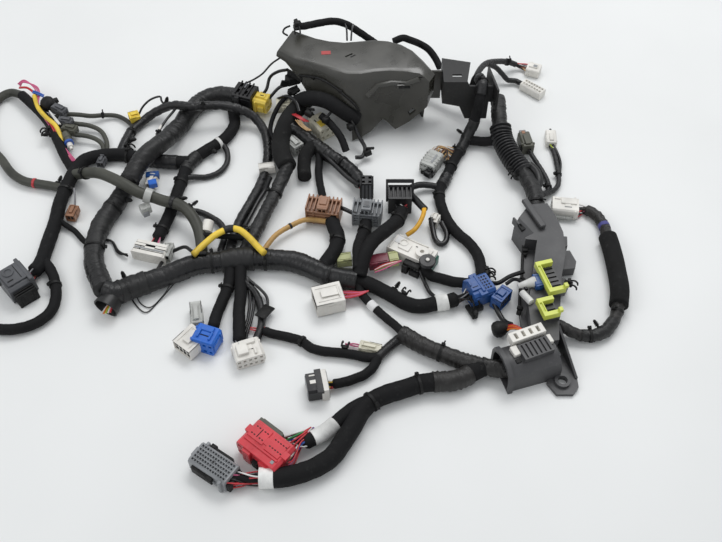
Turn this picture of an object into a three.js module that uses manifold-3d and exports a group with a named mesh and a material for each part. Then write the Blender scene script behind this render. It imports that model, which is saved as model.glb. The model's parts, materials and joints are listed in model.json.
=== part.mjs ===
// Dashboard wiring harness: looms, connectors, a hood cover, a bracket and a
// cable duct with a bolt foot, laid out on a flat surface. Millimetres, +Z up.
import * as THREE from 'three';
import { mergeVertices } from 'three/addons/utils/BufferGeometryUtils.js';
import Module from 'manifold-3d';

const wasm = await Module();
wasm.setup();

// Where the layout's own zero lies, seen from the middle of the part's footprint.
const layoutShift = [116.14, -51.8, 0];

// Clearance between two pieces that meet, and the thickness of moulded walls.
const clearance = 0.3;
const wall = 2.5;

// Cables thinner than this take longer steps, in diameters, than the looms do.
const thinCable = 12.5;

// Outer diameters of the wrapped looms, foam sleeves, tubes and cables.
const diameters = {
  trunk: 28,
  trunkBlue: 19,
  leftInner: 26,
  leftOuter: 19,
  upperLeft: 13,
  centreDrop: 18,
  foamLoop: 27,
  creamLead: 9,
  fan: 17,
  fanLoop: 8,
  fanBranch: 9,
  olive: 16,
  leftLoop: 13,
  lowerLeft: 14,
  leftSleeve: 15,
  smallTube: 7,
  yellowSleeve: 9,
  tan: 7,
  hoodLoom: 20,
  foamSock: 20,
  brownFeed: 11,
  brownLoom: 20,
  greyLoom: 17,
  blackLoom: 19,
  hoodTop: 11,
  upperRight: 9,
  upperRightLower: 8,
  rightCentre: 15,
  rightCross: 14,
  rightToBlack: 9,
  clearLead: 8,
  rightTrunk: 22,
  ductLead: 7,
  returnCable: 13,
  returnFoam: 25,
  returnLower: 15,
  moduleCable: 14,
  tagCable: 11,
  lowerCentre: 12,
  ductLoom: 21,
  loomLower: 23,
  loomRed: 18,
  dropLeft: 15,
  dropCentre: 16,
  dropRight: 10,
};

// Centre lines, each point chosen where the cable lies and how high it runs.
const routes = {
  trunk: [
    [-334, -48, 22], [-319, -51, 19], [-305, -41, 15], [-280, -29, 14], [-253, -16, 14],
    [-222, 0, 14], [-191, 5, 14], [-159, 10, 14], [-128, 9, 14], [-95, 6, 14],
    [-70, -4, 14], [-41, -19, 14], [-5, -27, 14],
  ],
  trunkBlue: [
    [-14, -26, 14], [4, -28, 12], [20, -35, 10], [41, -49, 10], [60, -62, 10], [77, -66, 10],
    [95, -62, 10], [114, -59, 12], [129, -55, 14], [146, -48, 14],
  ],
  leftInner: [
    [-334, -48, 22], [-348, -21, 15], [-360, 9, 13.2], [-363, 37, 13.2], [-361, 68, 13.2],
    [-351, 98, 14], [-338, 127, 18], [-324, 160, 31], [-308, 190, 36], [-291, 225, 26],
    [-276, 270, 14], [-263, 303, 14], [-244, 329, 15], [-219, 337, 17], [-188, 328, 20],
  ],
  leftOuter: [
    [-447, -24, 14], [-437, -11, 12], [-431, 8, 10], [-429, 45, 10], [-427, 81, 10],
    [-428, 113, 10], [-425, 144, 10], [-420, 174, 10], [-410, 199, 10], [-391, 209, 10],
    [-366, 212, 10], [-343, 209, 10], [-312, 201, 10], [-282, 197, 10], [-253, 196, 10],
  ],
  upperLeft: [
    [-358, 211, 10], [-356, 238, 9], [-349, 266, 8], [-335, 287, 9], [-313, 301, 17],
    [-285, 297, 31], [-258, 287, 37], [-237, 289, 37], [-213, 293, 34], [-188, 291, 30],
    [-165, 285, 20], [-149, 268, 9], [-141, 236, 8], [-139, 195, 7], [-146, 155, 7],
    [-157, 120, 7], [-168, 89, 7], [-176, 54, 8], [-178, 30, 10], [-177, 8, 14],
  ],
  centreDrop: [
    [-107, 172, 26], [-113, 152, 22], [-122, 125, 18], [-134, 93, 15], [-145, 60, 14],
    [-154, 32, 14], [-158, 9, 14],
  ],
  foamLoop: [
    [-84, 304, 36], [-96, 290, 32], [-110, 270, 26], [-118, 245, 22], [-119, 215, 22],
    [-114, 190, 26], [-106, 170, 28],
  ],
  creamLead: [
    [-92, 292, 30], [-84, 294, 22], [-76, 291, 15], [-66, 281, 12],
  ],
  fan: [
    [-206, 333, 17], [-199, 308, 12], [-194, 280, 9], [-203, 252, 9], [-219, 233, 9],
    [-236, 217, 9], [-250, 200, 9], [-257, 182, 9], [-261, 157, 9], [-265, 128, 9],
    [-270, 93, 9], [-276, 67, 9], [-282, 43, 9], [-287, 24, 9],
  ],
  fanLoop: [
    [-212, 241, 9], [-201, 224, 6], [-199, 200, 5], [-208, 181, 5], [-226, 171, 5],
    [-244, 169, 7], [-259, 165, 9],
  ],
  fanBranch: [
    [-267, 115, 9], [-249, 104, 8], [-228, 99, 8], [-209, 89, 7], [-195, 76, 7],
    [-189, 55, 7], [-191, 32, 9], [-193, 6, 12],
  ],
  olive: [
    [-421, 170, 10], [-400, 164, 20], [-375, 149, 36], [-352, 134, 42], [-331, 121, 42],
    [-312, 112, 36], [-292, 108, 30], [-275, 103, 27], [-257, 97, 28], [-240, 84, 28],
    [-226, 64, 22], [-218, 38, 16], [-214, 4, 14],
  ],
  leftLoop: [
    [-533, 340, 14], [-555, 350, 10], [-572, 336, 8], [-579, 303, 8], [-572, 263, 8],
    [-554, 228, 8], [-533, 203, 8], [-512, 176, 8], [-490, 160, 8], [-466, 154, 8],
    [-443, 148, 9], [-425, 141, 10],
  ],
  lowerLeft: [
    [-430, 12, 10], [-416, -5, 8], [-406, -26, 8], [-400, -50, 8], [-402, -73, 8],
    [-416, -90, 8], [-436, -99, 8], [-458, -101, 8], [-479, -95, 8], [-496, -84, 9],
  ],
  leftSleeve: [
    [-533, 340, 14], [-516, 322, 15], [-495, 299, 15], [-475, 274, 14], [-457, 241, 12],
    [-440, 209, 11], [-420, 177, 10],
  ],
  tubeUpper: [
    [-480, 281, 14], [-460, 293, 15], [-438, 295, 14], [-417, 294, 12], [-398, 299, 9],
    [-380, 301, 6], [-363, 291, 6], [-346, 271, 8],
  ],
  tubeLower: [
    [-468, 262, 13], [-451, 274, 15], [-432, 275, 13], [-414, 274, 10], [-398, 267, 6],
    [-387, 249, 5], [-382, 230, 5], [-380, 210, 10],
  ],
  yellowSleeve: [
    [-222, 2, 33], [-210, 20, 32], [-196, 37, 32], [-180, 47, 32], [-165, 45, 33],
    [-151, 32, 33], [-139, 17, 33], [-128, 4, 33],
  ],
  tan: [
    [-137, 10, 14], [-128, 34, 13], [-116, 54, 13], [-98, 69, 13], [-80, 80, 13],
    [-62, 80, 13], [-40, 76, 13],
  ],
  hoodLoom: [
    [-112, 262, 24], [-92, 250, 18], [-73, 233, 14], [-53, 214, 12], [-34, 197, 12],
    [-17, 180, 12], [-5, 160, 13], [5, 138, 14],
  ],
  foamSock: [
    [-70, 230, 14], [-82, 210, 12], [-84, 188, 11], [-82, 165, 11],
  ],
  brownFeed: [
    [-62, 223, 13], [-62, 200, 9], [-62, 176, 8], [-59, 150, 10], [-55, 125, 14], [-53, 106, 15],
  ],
  brownLoom: [
    [-44, 92, 14], [-38, 70, 13], [-32, 50, 13], [-35, 28, 13], [-44, 8, 14], [-55, -11, 14],
  ],
  greyLoom: [
    [8, 90, 14], [6, 66, 12], [1, 46, 14], [-3, 24, 20], [-3, 4, 26], [-3, -16, 24],
  ],
  blackLoom: [
    [57, 108, 16], [56, 88, 18], [48, 64, 27], [32, 40, 36], [16, 22, 36], [5, 2, 32],
    [-2, -24, 20],
  ],
  hoodTop: [
    [-99, 384, 112], [-88, 389, 108], [-79, 397, 104], [-63, 405, 102], [-42, 412, 100],
    [-23, 415, 92], [0, 411, 78], [30, 402, 60], [64, 386, 44], [100, 360, 34], [140, 330, 32],
    [170, 318, 44],
  ],
  upperRight: [
    [171, 319, 48], [181, 350, 50], [197, 382, 42], [218, 402, 30], [239, 415, 18],
    [256, 418, 9], [274, 412, 7],
  ],
  upperRightLower: [
    [197, 382, 42], [214, 388, 30], [226, 386, 18], [236, 382, 9], [248, 382, 7], [262, 372, 7],
  ],
  rightCentre: [
    [171, 318, 44], [174, 306, 76], [178, 290, 84], [178, 276, 82], [174, 262, 64],
    [170, 256, 40], [163, 249, 20], [151, 228, 9], [136, 197, 8], [124, 166, 8],
    [114, 144, 8], [113, 119, 8], [121, 85, 8], [133, 61, 8], [148, 43, 8], [158, 23, 8],
    [161, 1, 9], [160, -20, 12], [160, -34, 14],
  ],
  rightCross: [
    [208, 233, 21], [190, 238, 12], [174, 241, 10], [158, 241, 12],
  ],
  rightToBlack: [
    [116, 147, 8], [100, 150, 9], [84, 148, 12], [70, 138, 15], [64, 124, 16],
  ],
  clearLead: [
    [146, 222, 9], [132, 222, 8], [120, 217, 9], [108, 206, 10],
  ],
  rightTrunk: [
    [209, 306, 36], [209, 288, 36], [208, 268, 34], [209, 248, 28], [212, 228, 21],
    [223, 196, 17], [235, 170, 17], [243, 147, 17], [247, 125, 17], [246, 104, 17],
    [246, 84, 17],
  ],
  leadSingle: [
    [250, 226, 9], [258, 203, 8], [267, 180, 6], [272, 158, 6], [268, 138, 8], [250, 122, 16],
  ],
  leadPair: [
    [287, 240, 6], [290, 208, 5], [290, 178, 5], [286, 154, 5], [272, 138, 7], [252, 124, 16],
  ],
  returnUpper: [
    [300, 104, 9], [318, 104, 8], [332, 92, 8], [338, 74, 9], [339, 54, 12], [339, 36, 13],
  ],
  returnFoam: [
    [339, 50, 13], [341, 15, 13], [341, -18, 13], [339, -45, 13], [334, -66, 13],
  ],
  returnLower: [
    [335, -60, 13], [329, -80, 10], [317, -98, 9], [301, -109, 9], [284, -111, 9],
    [268, -108, 12], [254, -102, 16], [240, -97, 17],
  ],
  moduleCable: [
    [76, 8, 14], [92, -14, 10], [108, -20, 9], [124, -27, 11], [150, -32, 14],
  ],
  tagCable: [
    [-8, -29, 14], [2, -46, 8], [14, -62, 7], [30, -80, 7], [46, -97, 8], [60, -117, 12],
  ],
  lowerCentre: [
    [-129, -95, 7], [-118, -105, 7], [-104, -109, 7], [-89, -113, 7], [-75, -118, 7],
    [-63, -128, 7], [-48, -133, 7], [-29, -135, 7], [-11, -138, 7], [5, -142, 7], [21, -143, 8],
  ],
  lowerCentreUp: [
    [21, -143, 8], [31, -132, 8], [42, -121, 8], [54, -114, 10], [68, -121, 12],
  ],
  lowerCentreDown: [
    [21, -143, 8], [15, -157, 8], [5, -167, 7], [-7, -173, 7], [-22, -179, 8], [-48, -185, 10],
  ],
  ductLoom: [
    [50, -110, 12], [65, -120, 12], [83, -131, 12], [100, -139, 12], [119, -148, 12],
    [138, -156, 13], [156, -161, 14], [176, -164, 15], [196, -162, 17],
  ],
  loomLower: [
    [152, -160, 14], [136, -168, 13], [123, -176, 13], [108, -180, 13], [91, -181, 13],
    [72, -184, 13], [50, -192, 13], [30, -199, 13], [12, -209, 13], [-1, -224, 13],
    [-9, -241, 13], [-21, -262, 13], [-33, -280, 13], [-50, -293, 13], [-68, -301, 13],
    [-88, -306, 13], [-110, -307, 12.5], [-150, -308, 12.5],
  ],
  loomRed: [
    [12, -209, 13], [-2, -214, 13], [-15, -223, 12], [-27, -234, 11], [-40, -246, 11],
    [-54, -256, 12], [-70, -265, 13], [-90, -274, 14],
  ],
  dropLeft: [
    [-176, 6, 14], [-175, -18, 9], [-177, -38, 8], [-182, -59, 8], [-187, -82, 9],
    [-190, -116, 12],
  ],
  dropCentre: [
    [-162, 10, 14], [-160, -23, 10], [-158, -47, 9], [-158, -71, 9], [-156, -94, 9],
    [-152, -134, 10],
  ],
  dropRight: [
    [-160, -22, 10], [-150, -30, 8], [-139, -43, 7], [-131, -63, 7], [-128, -85, 7],
    [-130, -106, 7], [-140, -136, 9],
  ],
};

// Housings: where the wire side's middle lies, the way the mating end points,
// and the size along, across and up. Cavities are cut in the mating end or the top.
const housings = {
  connector_red: {
    at: [-97, -258, 14.2], heading: 231, size: [37, 59, 28], colour: 0xc63c4a,
    cavities: { face: 'front', columns: 7, rows: 2, side: 3.9, depth: 6, span: [50, 14] },
    bar: { length: 9, width: 63, height: 5 },
  },
  connector_pin_grey: {
    at: [-145, -308, 12.2], heading: 146, size: [53, 28, 24], colour: 0x93969b,
    cavities: { face: 'top', columns: 13, rows: 5, side: 2.2, depth: 4, span: [45, 19] },
    bar: { length: 26, width: 32, height: 6 },
  },
  connector_blue: {
    at: [140, -50, 14.2], heading: 25, size: [32, 32, 28], colour: 0x2f62a0,
    cavities: { face: 'front', columns: 4, rows: 3, side: 3.9, depth: 6, span: [24, 19] },
    bar: { length: 10, width: 36, height: 5 },
  },
  connector_blue_lower: {
    at: [-190, -106, 12.2], heading: 250, size: [27, 32, 24], colour: 0x2066c4,
    cavities: { face: 'front', columns: 4, rows: 2, side: 3.9, depth: 6, span: [24, 12] },
    bar: { length: 8, width: 12, height: 4 },
  },
  connector_white_lower: {
    at: [-146, -125, 10.2], heading: 290, size: [28, 36, 20], colour: 0xe2dfd6,
    cavities: { face: 'front', columns: 5, rows: 2, side: 3.5, depth: 6, span: [28, 9] },
    bar: { length: 8, width: 14, height: 4 },
  },
  connector_black_tall: {
    at: [8, 146, 17.2], heading: 270, size: [17, 18, 34], colour: 0x1d1d20,
    cavities: { face: 'top', columns: 2, rows: 2, side: 3.9, depth: 6, span: [8, 9] },
  },
  connector_cream: {
    at: [-70, 284, 12.2], heading: 306, size: [34, 27, 24], colour: 0xd8d4c2,
    cavities: { face: 'front', columns: 3, rows: 2, side: 3.9, depth: 6, span: [18, 11] },
    bar: { length: 9, width: 12, height: 4 },
  },
  relay_box: {
    at: [-194, 330, 20.2], heading: 340, size: [32, 32, 40], colour: 0x1a1a1d,
    cavities: { face: 'top', columns: 2, rows: 2, side: 8, depth: 3.9, span: [14, 14] },
  },
  connector_yellow: {
    at: [-163.6, 318.9, 20.2], heading: 340, size: [22, 24, 24], colour: 0xe3c843,
    cavities: { face: 'front', columns: 3, rows: 2, side: 3.9, depth: 6, span: [15, 11] },
    bar: { length: 7, width: 10, height: 4 },
  },
  connector_clear_right: {
    at: [112, 209, 10.2], heading: 240, size: [32, 24, 20], colour: 0xc9cbc8,
    cavities: { face: 'front', columns: 4, rows: 2, side: 3.5, depth: 6, span: [17, 9] },
  },
  connector_white_upper: {
    at: [270, 413, 7.2], heading: 338, size: [22, 22, 14], colour: 0xdcdad2,
    cavities: { face: 'front', columns: 3, rows: 1, side: 3.9, depth: 6, span: [14, 0] },
    bar: { length: 7, width: 9, height: 3 },
  },
  connector_white_pinned: {
    at: [259, 374, 7.2], heading: 318, size: [38, 17, 14], colour: 0xdcdad2,
    cavities: { face: 'top', columns: 7, rows: 2, side: 2.6, depth: 4, span: [30, 7] },
  },
  connector_lead_olive: {
    at: [250, 222, 9.2], heading: 98, size: [31, 18, 18], colour: 0x55564a,
    cavities: { face: 'front', columns: 2, rows: 2, side: 3.9, depth: 6, span: [8, 8] },
  },
  connector_lead_white: {
    at: [287, 236, 6.2], heading: 86, size: [27, 16, 12], colour: 0xe0ded7,
    cavities: { face: 'front', columns: 2, rows: 1, side: 3.9, depth: 6, span: [8, 0] },
    bar: { length: 7, width: 7, height: 3 },
  },
  connector_return: {
    at: [307, 104, 9.2], heading: 172, size: [37, 27, 18], colour: 0xe0ded7,
    cavities: { face: 'front', columns: 4, rows: 2, side: 3.5, depth: 6, span: [20, 8] },
    bar: { length: 8, width: 12, height: 3 },
  },
  connector_left_grey: {
    at: [-441, -17, 14.2], heading: 222, size: [36, 42, 28], colour: 0x5d5f63,
    cavities: { face: 'top', columns: 3, rows: 4, side: 3.9, depth: 5, span: [20, 27] },
    bar: { length: 10, width: 46, height: 5 },
  },
  connector_left_end: {
    at: [-488, -88.5, 9.2], heading: 147, size: [28, 22, 18], colour: 0x4c4e52,
    cavities: { face: 'front', columns: 3, rows: 2, side: 3.9, depth: 6, span: [14, 8] },
  },
  connector_striped: {
    at: [-40, -183.5, 11.2], heading: 191, size: [26, 29, 22], colour: 0x3b3c3f,
    cavities: { face: 'front', columns: 4, rows: 2, side: 3.9, depth: 6, span: [20, 10] },
    bar: { length: 8, width: 33, height: 4 },
  },
  connector_fan: {
    at: [-283, 36, 9.2], heading: 255, size: [22, 47, 18], colour: 0xdad8d0,
    cavities: { face: 'front', columns: 8, rows: 2, side: 3.2, depth: 6, span: [37, 7] },
    bar: { length: 7, width: 14, height: 3 },
  },
};

// Finned lever-type housings: long side across, fins along the top.
const finned = {
  connector_brown: { at: [-52, 97, 0], heading: -10, size: [48, 28, 30], fins: 9, colour: 0x96644b },
  connector_grey_finned: { at: [9, 93, 0], heading: -7, size: [41, 26, 29], fins: 8, colour: 0x7d8085 },
};
const finHeight = 6;
const finThickness = 2;

// Lever connector: a block with a U-shaped lever that swings about two stub pins.
const leverBlock = { at: [55, 117, 0], size: [33, 27, 31], pivotHeight: 15.5 };
const lever = { radius: 26, arm: 3, armWidth: 7, bar: 5, open: 50, pinRadius: 2, pinLength: 3 };

// Electronic module: a slab with a round wheel on top.
const moduleBody = { at: [69, 20, 0], heading: -30, size: [64, 28, 23], wheelRadius: 9, wheelHeight: 5 };

// Hood cover: a shell open below. Its front wall leans forward to the floor and its
// right end swells out under the top edge.
const hood = {
  height: 100, lean: 38, swell: 20, frontRow: 288, crestRow: 340, swellFrom: 60, swellTo: 96,
  bead: 8, armTo: -13,
};
const hoodLeft = [[-101, 322], [-128, 344], [-106, 396]];
const hoodBack = [[-88, 386], [-61, 372], [-24, 365], [22, 371], [54, 364], [76, 348], [90, 326], [96, 304]];
const hoodFront = [[85, 288], [57, 294], [28, 294], [4, 288], [-23, 288], [-60, 306]];
// The shell's rim, level by level: height, how far the edge is drawn in, share of the swell.
const hoodLevels = [
  [0, 0, 0.7], [60, 0, 0.9], [88, 0, 1], [94, 1, 0.6], [98, 3, 0.2], [100, 8, 0],
];
// Where the walls end above the floor, seen from the front: the left arm, and the front wall.
const armHem = [[-140, 88], [-114, 86], [-96, 72], [-79, 45], [-14, 40]];
const frontHem = [[-13, 2], [17, 13], [33, 29], [52, 12], [74, 27], [104, 58], [130, 80]];
const hoodBead = [[9, 66], [20, 76], [32, 82], [56, 82], [76, 84], [86, 92]];

// Bracket beside the hood: a bent plate with a top and a side wing.
const bracket = { thickness: 3, top: 90, under: 52, left: 121.5, front: 284 };
const bracketFace = [
  [121.5, 49], [148, 43], [158, 19], [197, 19], [197, 82], [160, 82], [156, 90], [121.5, 90],
];
const bracketWing = { at: [189, 315], heading: 10.5, side: [[0, 90], [-53, 90], [-53, 45], [-30, 19], [0, 19]] };

// Cable duct: the channel's plan, its left wing and side ledge, and the round-topped end piece.
const duct = { height: 34, ledge: 13, wingEdge: 13 };
const ductOutline = [
  [231, 90], [258, 93], [267, 69], [273, 40], [272, 8], [261, -34], [254, -73], [247, -112], [244, -134],
  [212, -140], [212, -81], [219, -51], [230, -3], [236, 26], [244, 51],
];
const wingOutline = [[231, 88], [209, 56], [221, 28], [236, 26], [244, 51]];
const ledgeOutline = [
  [236, 27], [224, 30], [214, -19], [205, -65], [206, -122], [213, -122], [213, -81], [220, -51], [231, -3],
];
const tabOutlines = [
  [[270, 45], [281, 43], [279, 26], [270, 26]],
  [[268, 21], [282, 21], [288, 2], [285, -9], [262, -12]],
  [[262, -22], [270, -24], [274, -34], [268, -44], [256, -44]],
];
const ductEnd = { at: [171, -165], heading: 17, length: 70, width: 50, height: 37, collar: 6, rim: 2.5 };
const fuseBlocks = [
  { size: [17, 44, 8], at: [246, -46], heading: 15.5, ridges: 6 },
  { size: [17, 24, 8], at: [237, -94], heading: 16, ridges: 3 },
];
const fuseBank = { size: [40, 22, 13], at: [212, -151], heading: 22, ridges: 6 };
const foot = { thickness: 5, bossRadius: 10, bossHeight: 9, holeRadius: 6, hole: [247, -176] };
const footOutline = [
  [252, -136], [266, -170], [266, -184], [258, -194], [238, -194], [228, -178], [232, -160],
];
const footWebs = [
  { from: [247, -112], to: [265, -172], high: 33, low: 7 },
  { from: [238, -140], to: [246, -162], high: 33, low: 8 },
];

// Corrugated conduit round the right trunk.
const conduit = {
  outer: 33, inner: 25.5, grooveDepth: 2.6, rings: 13, sides: 10, from: 0.24, to: 0.64,
};

// Manifold solid from a closed geometry, and a geometry from a solid.
function toSolid(geometry) {
  const bare = geometry.clone();
  bare.deleteAttribute('normal');
  bare.deleteAttribute('uv');
  const merged = mergeVertices(bare, 1e-4);
  return new wasm.Manifold(new wasm.Mesh({
    numProp: 3,
    vertProperties: new Float32Array(merged.attributes.position.array),
    triVerts: new Uint32Array(merged.index.array),
  }));
}

function toGeometry(solid) {
  const mesh = solid.getMesh();
  const geometry = new THREE.BufferGeometry();
  geometry.setAttribute('position', new THREE.BufferAttribute(new Float32Array(mesh.vertProperties), 3));
  geometry.setIndex(new THREE.BufferAttribute(new Uint32Array(mesh.triVerts), 1));
  geometry.computeVertexNormals();
  return geometry;
}

function join(...solids) {
  return solids.reduce((whole, next) => whole.add(next));
}

// A box by its size and centre.
function block(size, centre) {
  return toSolid(new THREE.BoxGeometry(...size).translate(...centre));
}

// An upright prism from a plan outline.
function prism(outline, bottom, top) {
  const shape = new THREE.Shape(outline.map(([x, y]) => new THREE.Vector2(x, y)));
  const geometry = new THREE.ExtrudeGeometry(shape, { depth: top - bottom, bevelEnabled: false });
  return toSolid(geometry.translate(0, 0, bottom));
}

function upright(radius, bottom, top, [x, y], sides = 20) {
  const geometry = new THREE.CylinderGeometry(radius, radius, top - bottom, sides);
  return toSolid(geometry.rotateX(Math.PI / 2).translate(x, y, (top + bottom) / 2));
}

// The outline moved inwards by a distance, corner by corner.
function inset(outline, distance) {
  const area = THREE.ShapeUtils.area(outline.map(([x, y]) => new THREE.Vector2(x, y)));
  const side = Math.sign(area);
  return outline.map((corner, i) => {
    const before = outline[(i + outline.length - 1) % outline.length];
    const after = outline[(i + 1) % outline.length];
    const a = new THREE.Vector2(corner[0] - before[0], corner[1] - before[1]).normalize();
    const b = new THREE.Vector2(after[0] - corner[0], after[1] - corner[1]).normalize();
    const normal = new THREE.Vector2(-a.y - b.y, a.x + b.x).normalize();
    const reach = side * distance / (normal.x * -b.y + normal.y * b.x);
    return [corner[0] + normal.x * reach, corner[1] + normal.y * reach];
  });
}

// A round tube along a route, with a step about every two diameters. A cutter is
// the same tube grown all round, so that it follows the same facets.
function tube(points, diameter, grow = 0) {
  const curve = new THREE.CatmullRomCurve3(
    points.map((point) => new THREE.Vector3(...point)), false, 'catmullrom', 0.5);
  const sides = diameter < 22 ? 8 : 10;
  const section = new THREE.Shape();
  for (let i = 0; i < sides; i += 1) {
    const angle = (2 * Math.PI * i) / sides;
    const radius = diameter / 2 + grow;
    const spot = [radius * Math.cos(angle), radius * Math.sin(angle)];
    if (i === 0) section.moveTo(...spot);
    else section.lineTo(...spot);
  }
  const stride = diameter < thinCable ? 2.8 : 2.1;
  const steps = Math.max(4, Math.ceil(curve.getLength() / (stride * diameter)));
  return toSolid(new THREE.ExtrudeGeometry(section, { steps, extrudePath: curve }));
}

function run(name, diameter = name) {
  return tube(routes[name], diameters[diameter]);
}

// A tube as a cutter: wider by the clearance all round.
function cutter(name, diameter = name) {
  return tube(routes[name], diameters[diameter], clearance);
}

// One connector body in its own frame: wire side at x = 0, mating end at +x.
function housingSolid({ size, cavities, bar }) {
  const [length, width, height] = size;
  const corner = Math.min(width, height) * 0.12;
  const section = new THREE.Shape();
  const w = width / 2;
  const h = height / 2;
  section.moveTo(-h + corner, -w);
  section.lineTo(h - corner, -w);
  section.lineTo(h, -w + corner);
  section.lineTo(h, w - corner);
  section.lineTo(h - corner, w);
  section.lineTo(-h + corner, w);
  section.lineTo(-h, w - corner);
  section.lineTo(-h, -w + corner);
  const long = new THREE.ExtrudeGeometry(section, { depth: length, bevelEnabled: false });
  let body = toSolid(long.rotateY(Math.PI / 2));
  const [spanAcross, spanUp] = cavities.span;
  for (let i = 0; i < cavities.columns; i += 1) {
    for (let j = 0; j < cavities.rows; j += 1) {
      const across = cavities.columns > 1 ? (i / (cavities.columns - 1) - 0.5) * spanAcross : 0;
      const up = cavities.rows > 1 ? (j / (cavities.rows - 1) - 0.5) * spanUp : 0;
      const side = cavities.side;
      const deep = cavities.depth * 2;
      const pocket = cavities.face === 'front'
        ? block([deep, side, side], [length, across, up])
        : block([side, side, deep], [length / 2 + across, up, h]);
      body = body.subtract(pocket);
    }
  }
  if (bar) {
    const seat = block([bar.length, bar.width, bar.height], [length * 0.42, 0, h - bar.height / 2 + 1]);
    body = cavities.face === 'front' ? body.add(seat) : body.add(
      block([bar.length, bar.width, bar.height], [length * 0.5, 0, 0]));
  }
  return body;
}

// The space that nothing else may enter round a housing.
function housingEnvelope({ size, bar }) {
  const [length, width, height] = size;
  const grow = 2 * clearance;
  let space = block([length + grow, width + grow, height + grow], [length / 2, 0, 0]);
  if (bar) {
    space = space.add(block([bar.length + grow, bar.width + grow, height + grow], [length * 0.45, 0, 1]));
  }
  return space;
}

// A block with upright fins across its top.
function finnedSolid({ size, fins }) {
  const [length, width, height] = size;
  let body = block([length, width, height - finHeight], [0, 0, (height - finHeight) / 2]);
  for (let i = 0; i < fins; i += 1) {
    const x = (i / (fins - 1) - 0.5) * (length - finThickness);
    body = body.add(block([finThickness, width, finHeight + 1], [x, 0, height - finHeight / 2 - 0.5]));
  }
  const rail = block([length, 3, finHeight], [0, width / 2 - 5, height - finHeight / 2 - 1]);
  const notch = block([length * 0.4, 4, 8], [0, -width / 2, 6]);
  return body.add(rail).subtract(notch);
}

function blockEnvelope(size) {
  const grow = 2 * clearance;
  return block([size[0] + grow, size[1] + grow, size[2] + grow], [0, 0, size[2] / 2]);
}

function leverBlockSolid() {
  const [length, width, height] = leverBlock.size;
  let body = block([length, width, height], [0, 0, height / 2]);
  for (let i = 0; i < 5; i += 1) {
    const x = (i / 4 - 0.5) * (length - 8);
    body = body.subtract(block([3.2, width - 8, 8], [x, 0, height]));
  }
  const pinLong = length + 2 * (clearance + lever.pinLength);
  const pin = new THREE.CylinderGeometry(lever.pinRadius, lever.pinRadius, pinLong, 16);
  return body.add(toSolid(pin.rotateZ(Math.PI / 2).translate(0, 0, leverBlock.pivotHeight)));
}

// The lever about its own pivot: two arms with pin holes, joined by a bar.
function leverSolid() {
  const inside = leverBlock.size[0] / 2 + clearance;
  let body = null;
  for (const side of [-1, 1]) {
    const x = side * (inside + lever.arm / 2);
    const arm = block([lever.arm, lever.radius, lever.armWidth], [x, lever.radius / 2, 0]);
    const round = new THREE.CylinderGeometry(lever.armWidth / 2, lever.armWidth / 2, lever.arm, 20);
    const hole = new THREE.CylinderGeometry(
      lever.pinRadius + clearance, lever.pinRadius + clearance, lever.arm + 2, 20);
    const one = arm
      .add(toSolid(round.rotateZ(Math.PI / 2).translate(x, 0, 0)))
      .subtract(toSolid(hole.rotateZ(Math.PI / 2).translate(x, 0, 0)));
    body = body ? body.add(one) : one;
  }
  const bar = block([2 * (inside + lever.arm), lever.bar, lever.armWidth], [0, lever.radius, 0]);
  return body.add(bar);
}

function moduleSolid() {
  const [length, width, height] = moduleBody.size;
  const slab = block([length, width, height], [0, 0, height / 2]);
  const step = block([length * 0.3, width * 0.35, 8], [-length * 0.36, width * 0.36, height]);
  const wheel = upright(moduleBody.wheelRadius, height - 1, height + moduleBody.wheelHeight,
    [length * 0.24, -1], 24);
  const ring = upright(3, height + 1, height + moduleBody.wheelHeight + 1, [length * 0.24, -1], 12);
  const port = block([16, 7.8, 10], [length * 0.1, -width / 2, 7]);
  return slab.subtract(step).add(wheel).subtract(ring).subtract(port);
}

// A closed body through rings of equal count, each ring a list of [x, y, z] from below to above.
function loft(rings) {
  const count = rings[0].length;
  const spots = rings.flat(2);
  const faces = [];
  for (let level = 0; level < rings.length - 1; level += 1) {
    for (let i = 0; i < count; i += 1) {
      const low = level * count;
      const next = (i + 1) % count;
      faces.push(low + i, low + next, low + count + next, low + i, low + count + next, low + count + i);
    }
  }
  const flat = (ring) => THREE.ShapeUtils.triangulateShape(
    ring.map(([x, y]) => new THREE.Vector2(x, y)), []);
  const top = (rings.length - 1) * count;
  for (const [a, b, c] of flat(rings[0])) faces.push(c, b, a);
  for (const [a, b, c] of flat(rings[rings.length - 1])) faces.push(top + a, top + b, top + c);
  const geometry = new THREE.BufferGeometry();
  geometry.setAttribute('position', new THREE.BufferAttribute(new Float32Array(spots), 3));
  geometry.setIndex(faces);
  return toSolid(geometry);
}

// A shape in the X-Z plane drawn through the depth from y = near to y = far.
function curtain(outline, near, far) {
  const shape = new THREE.Shape(outline.map(([x, z]) => new THREE.Vector2(x, z)));
  const geometry = new THREE.ExtrudeGeometry(shape, { depth: far - near, bevelEnabled: false });
  return toSolid(geometry.rotateX(Math.PI / 2).translate(0, far, 0));
}

// Points evenly spread on a smooth line through the given corners.
function smoothed(corners, count) {
  const curve = new THREE.CatmullRomCurve3(
    corners.map(([x, y]) => new THREE.Vector3(x, y, 0)), false, 'catmullrom', 0.5);
  return curve.getSpacedPoints(count).map(({ x, y }) => [x, y]);
}

// The hood's plan, counter-clockwise, and how a point of it moves at a given height.
const hoodPlan = [...hoodLeft, ...smoothed(hoodBack, 10), ...smoothed(hoodFront, 7)].reverse();

function hoodPoint([x, y], z, swellShare) {
  const drop = 1 - z / hood.height;
  const front = THREE.MathUtils.clamp((hood.crestRow - y) / (hood.crestRow - hood.frontRow), 0, 1);
  const right = THREE.MathUtils.smoothstep(x, hood.swellFrom, hood.swellTo);
  return [x + hood.swell * swellShare * right * Math.max(front, 0.3), y - hood.lean * drop * front, z];
}

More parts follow.
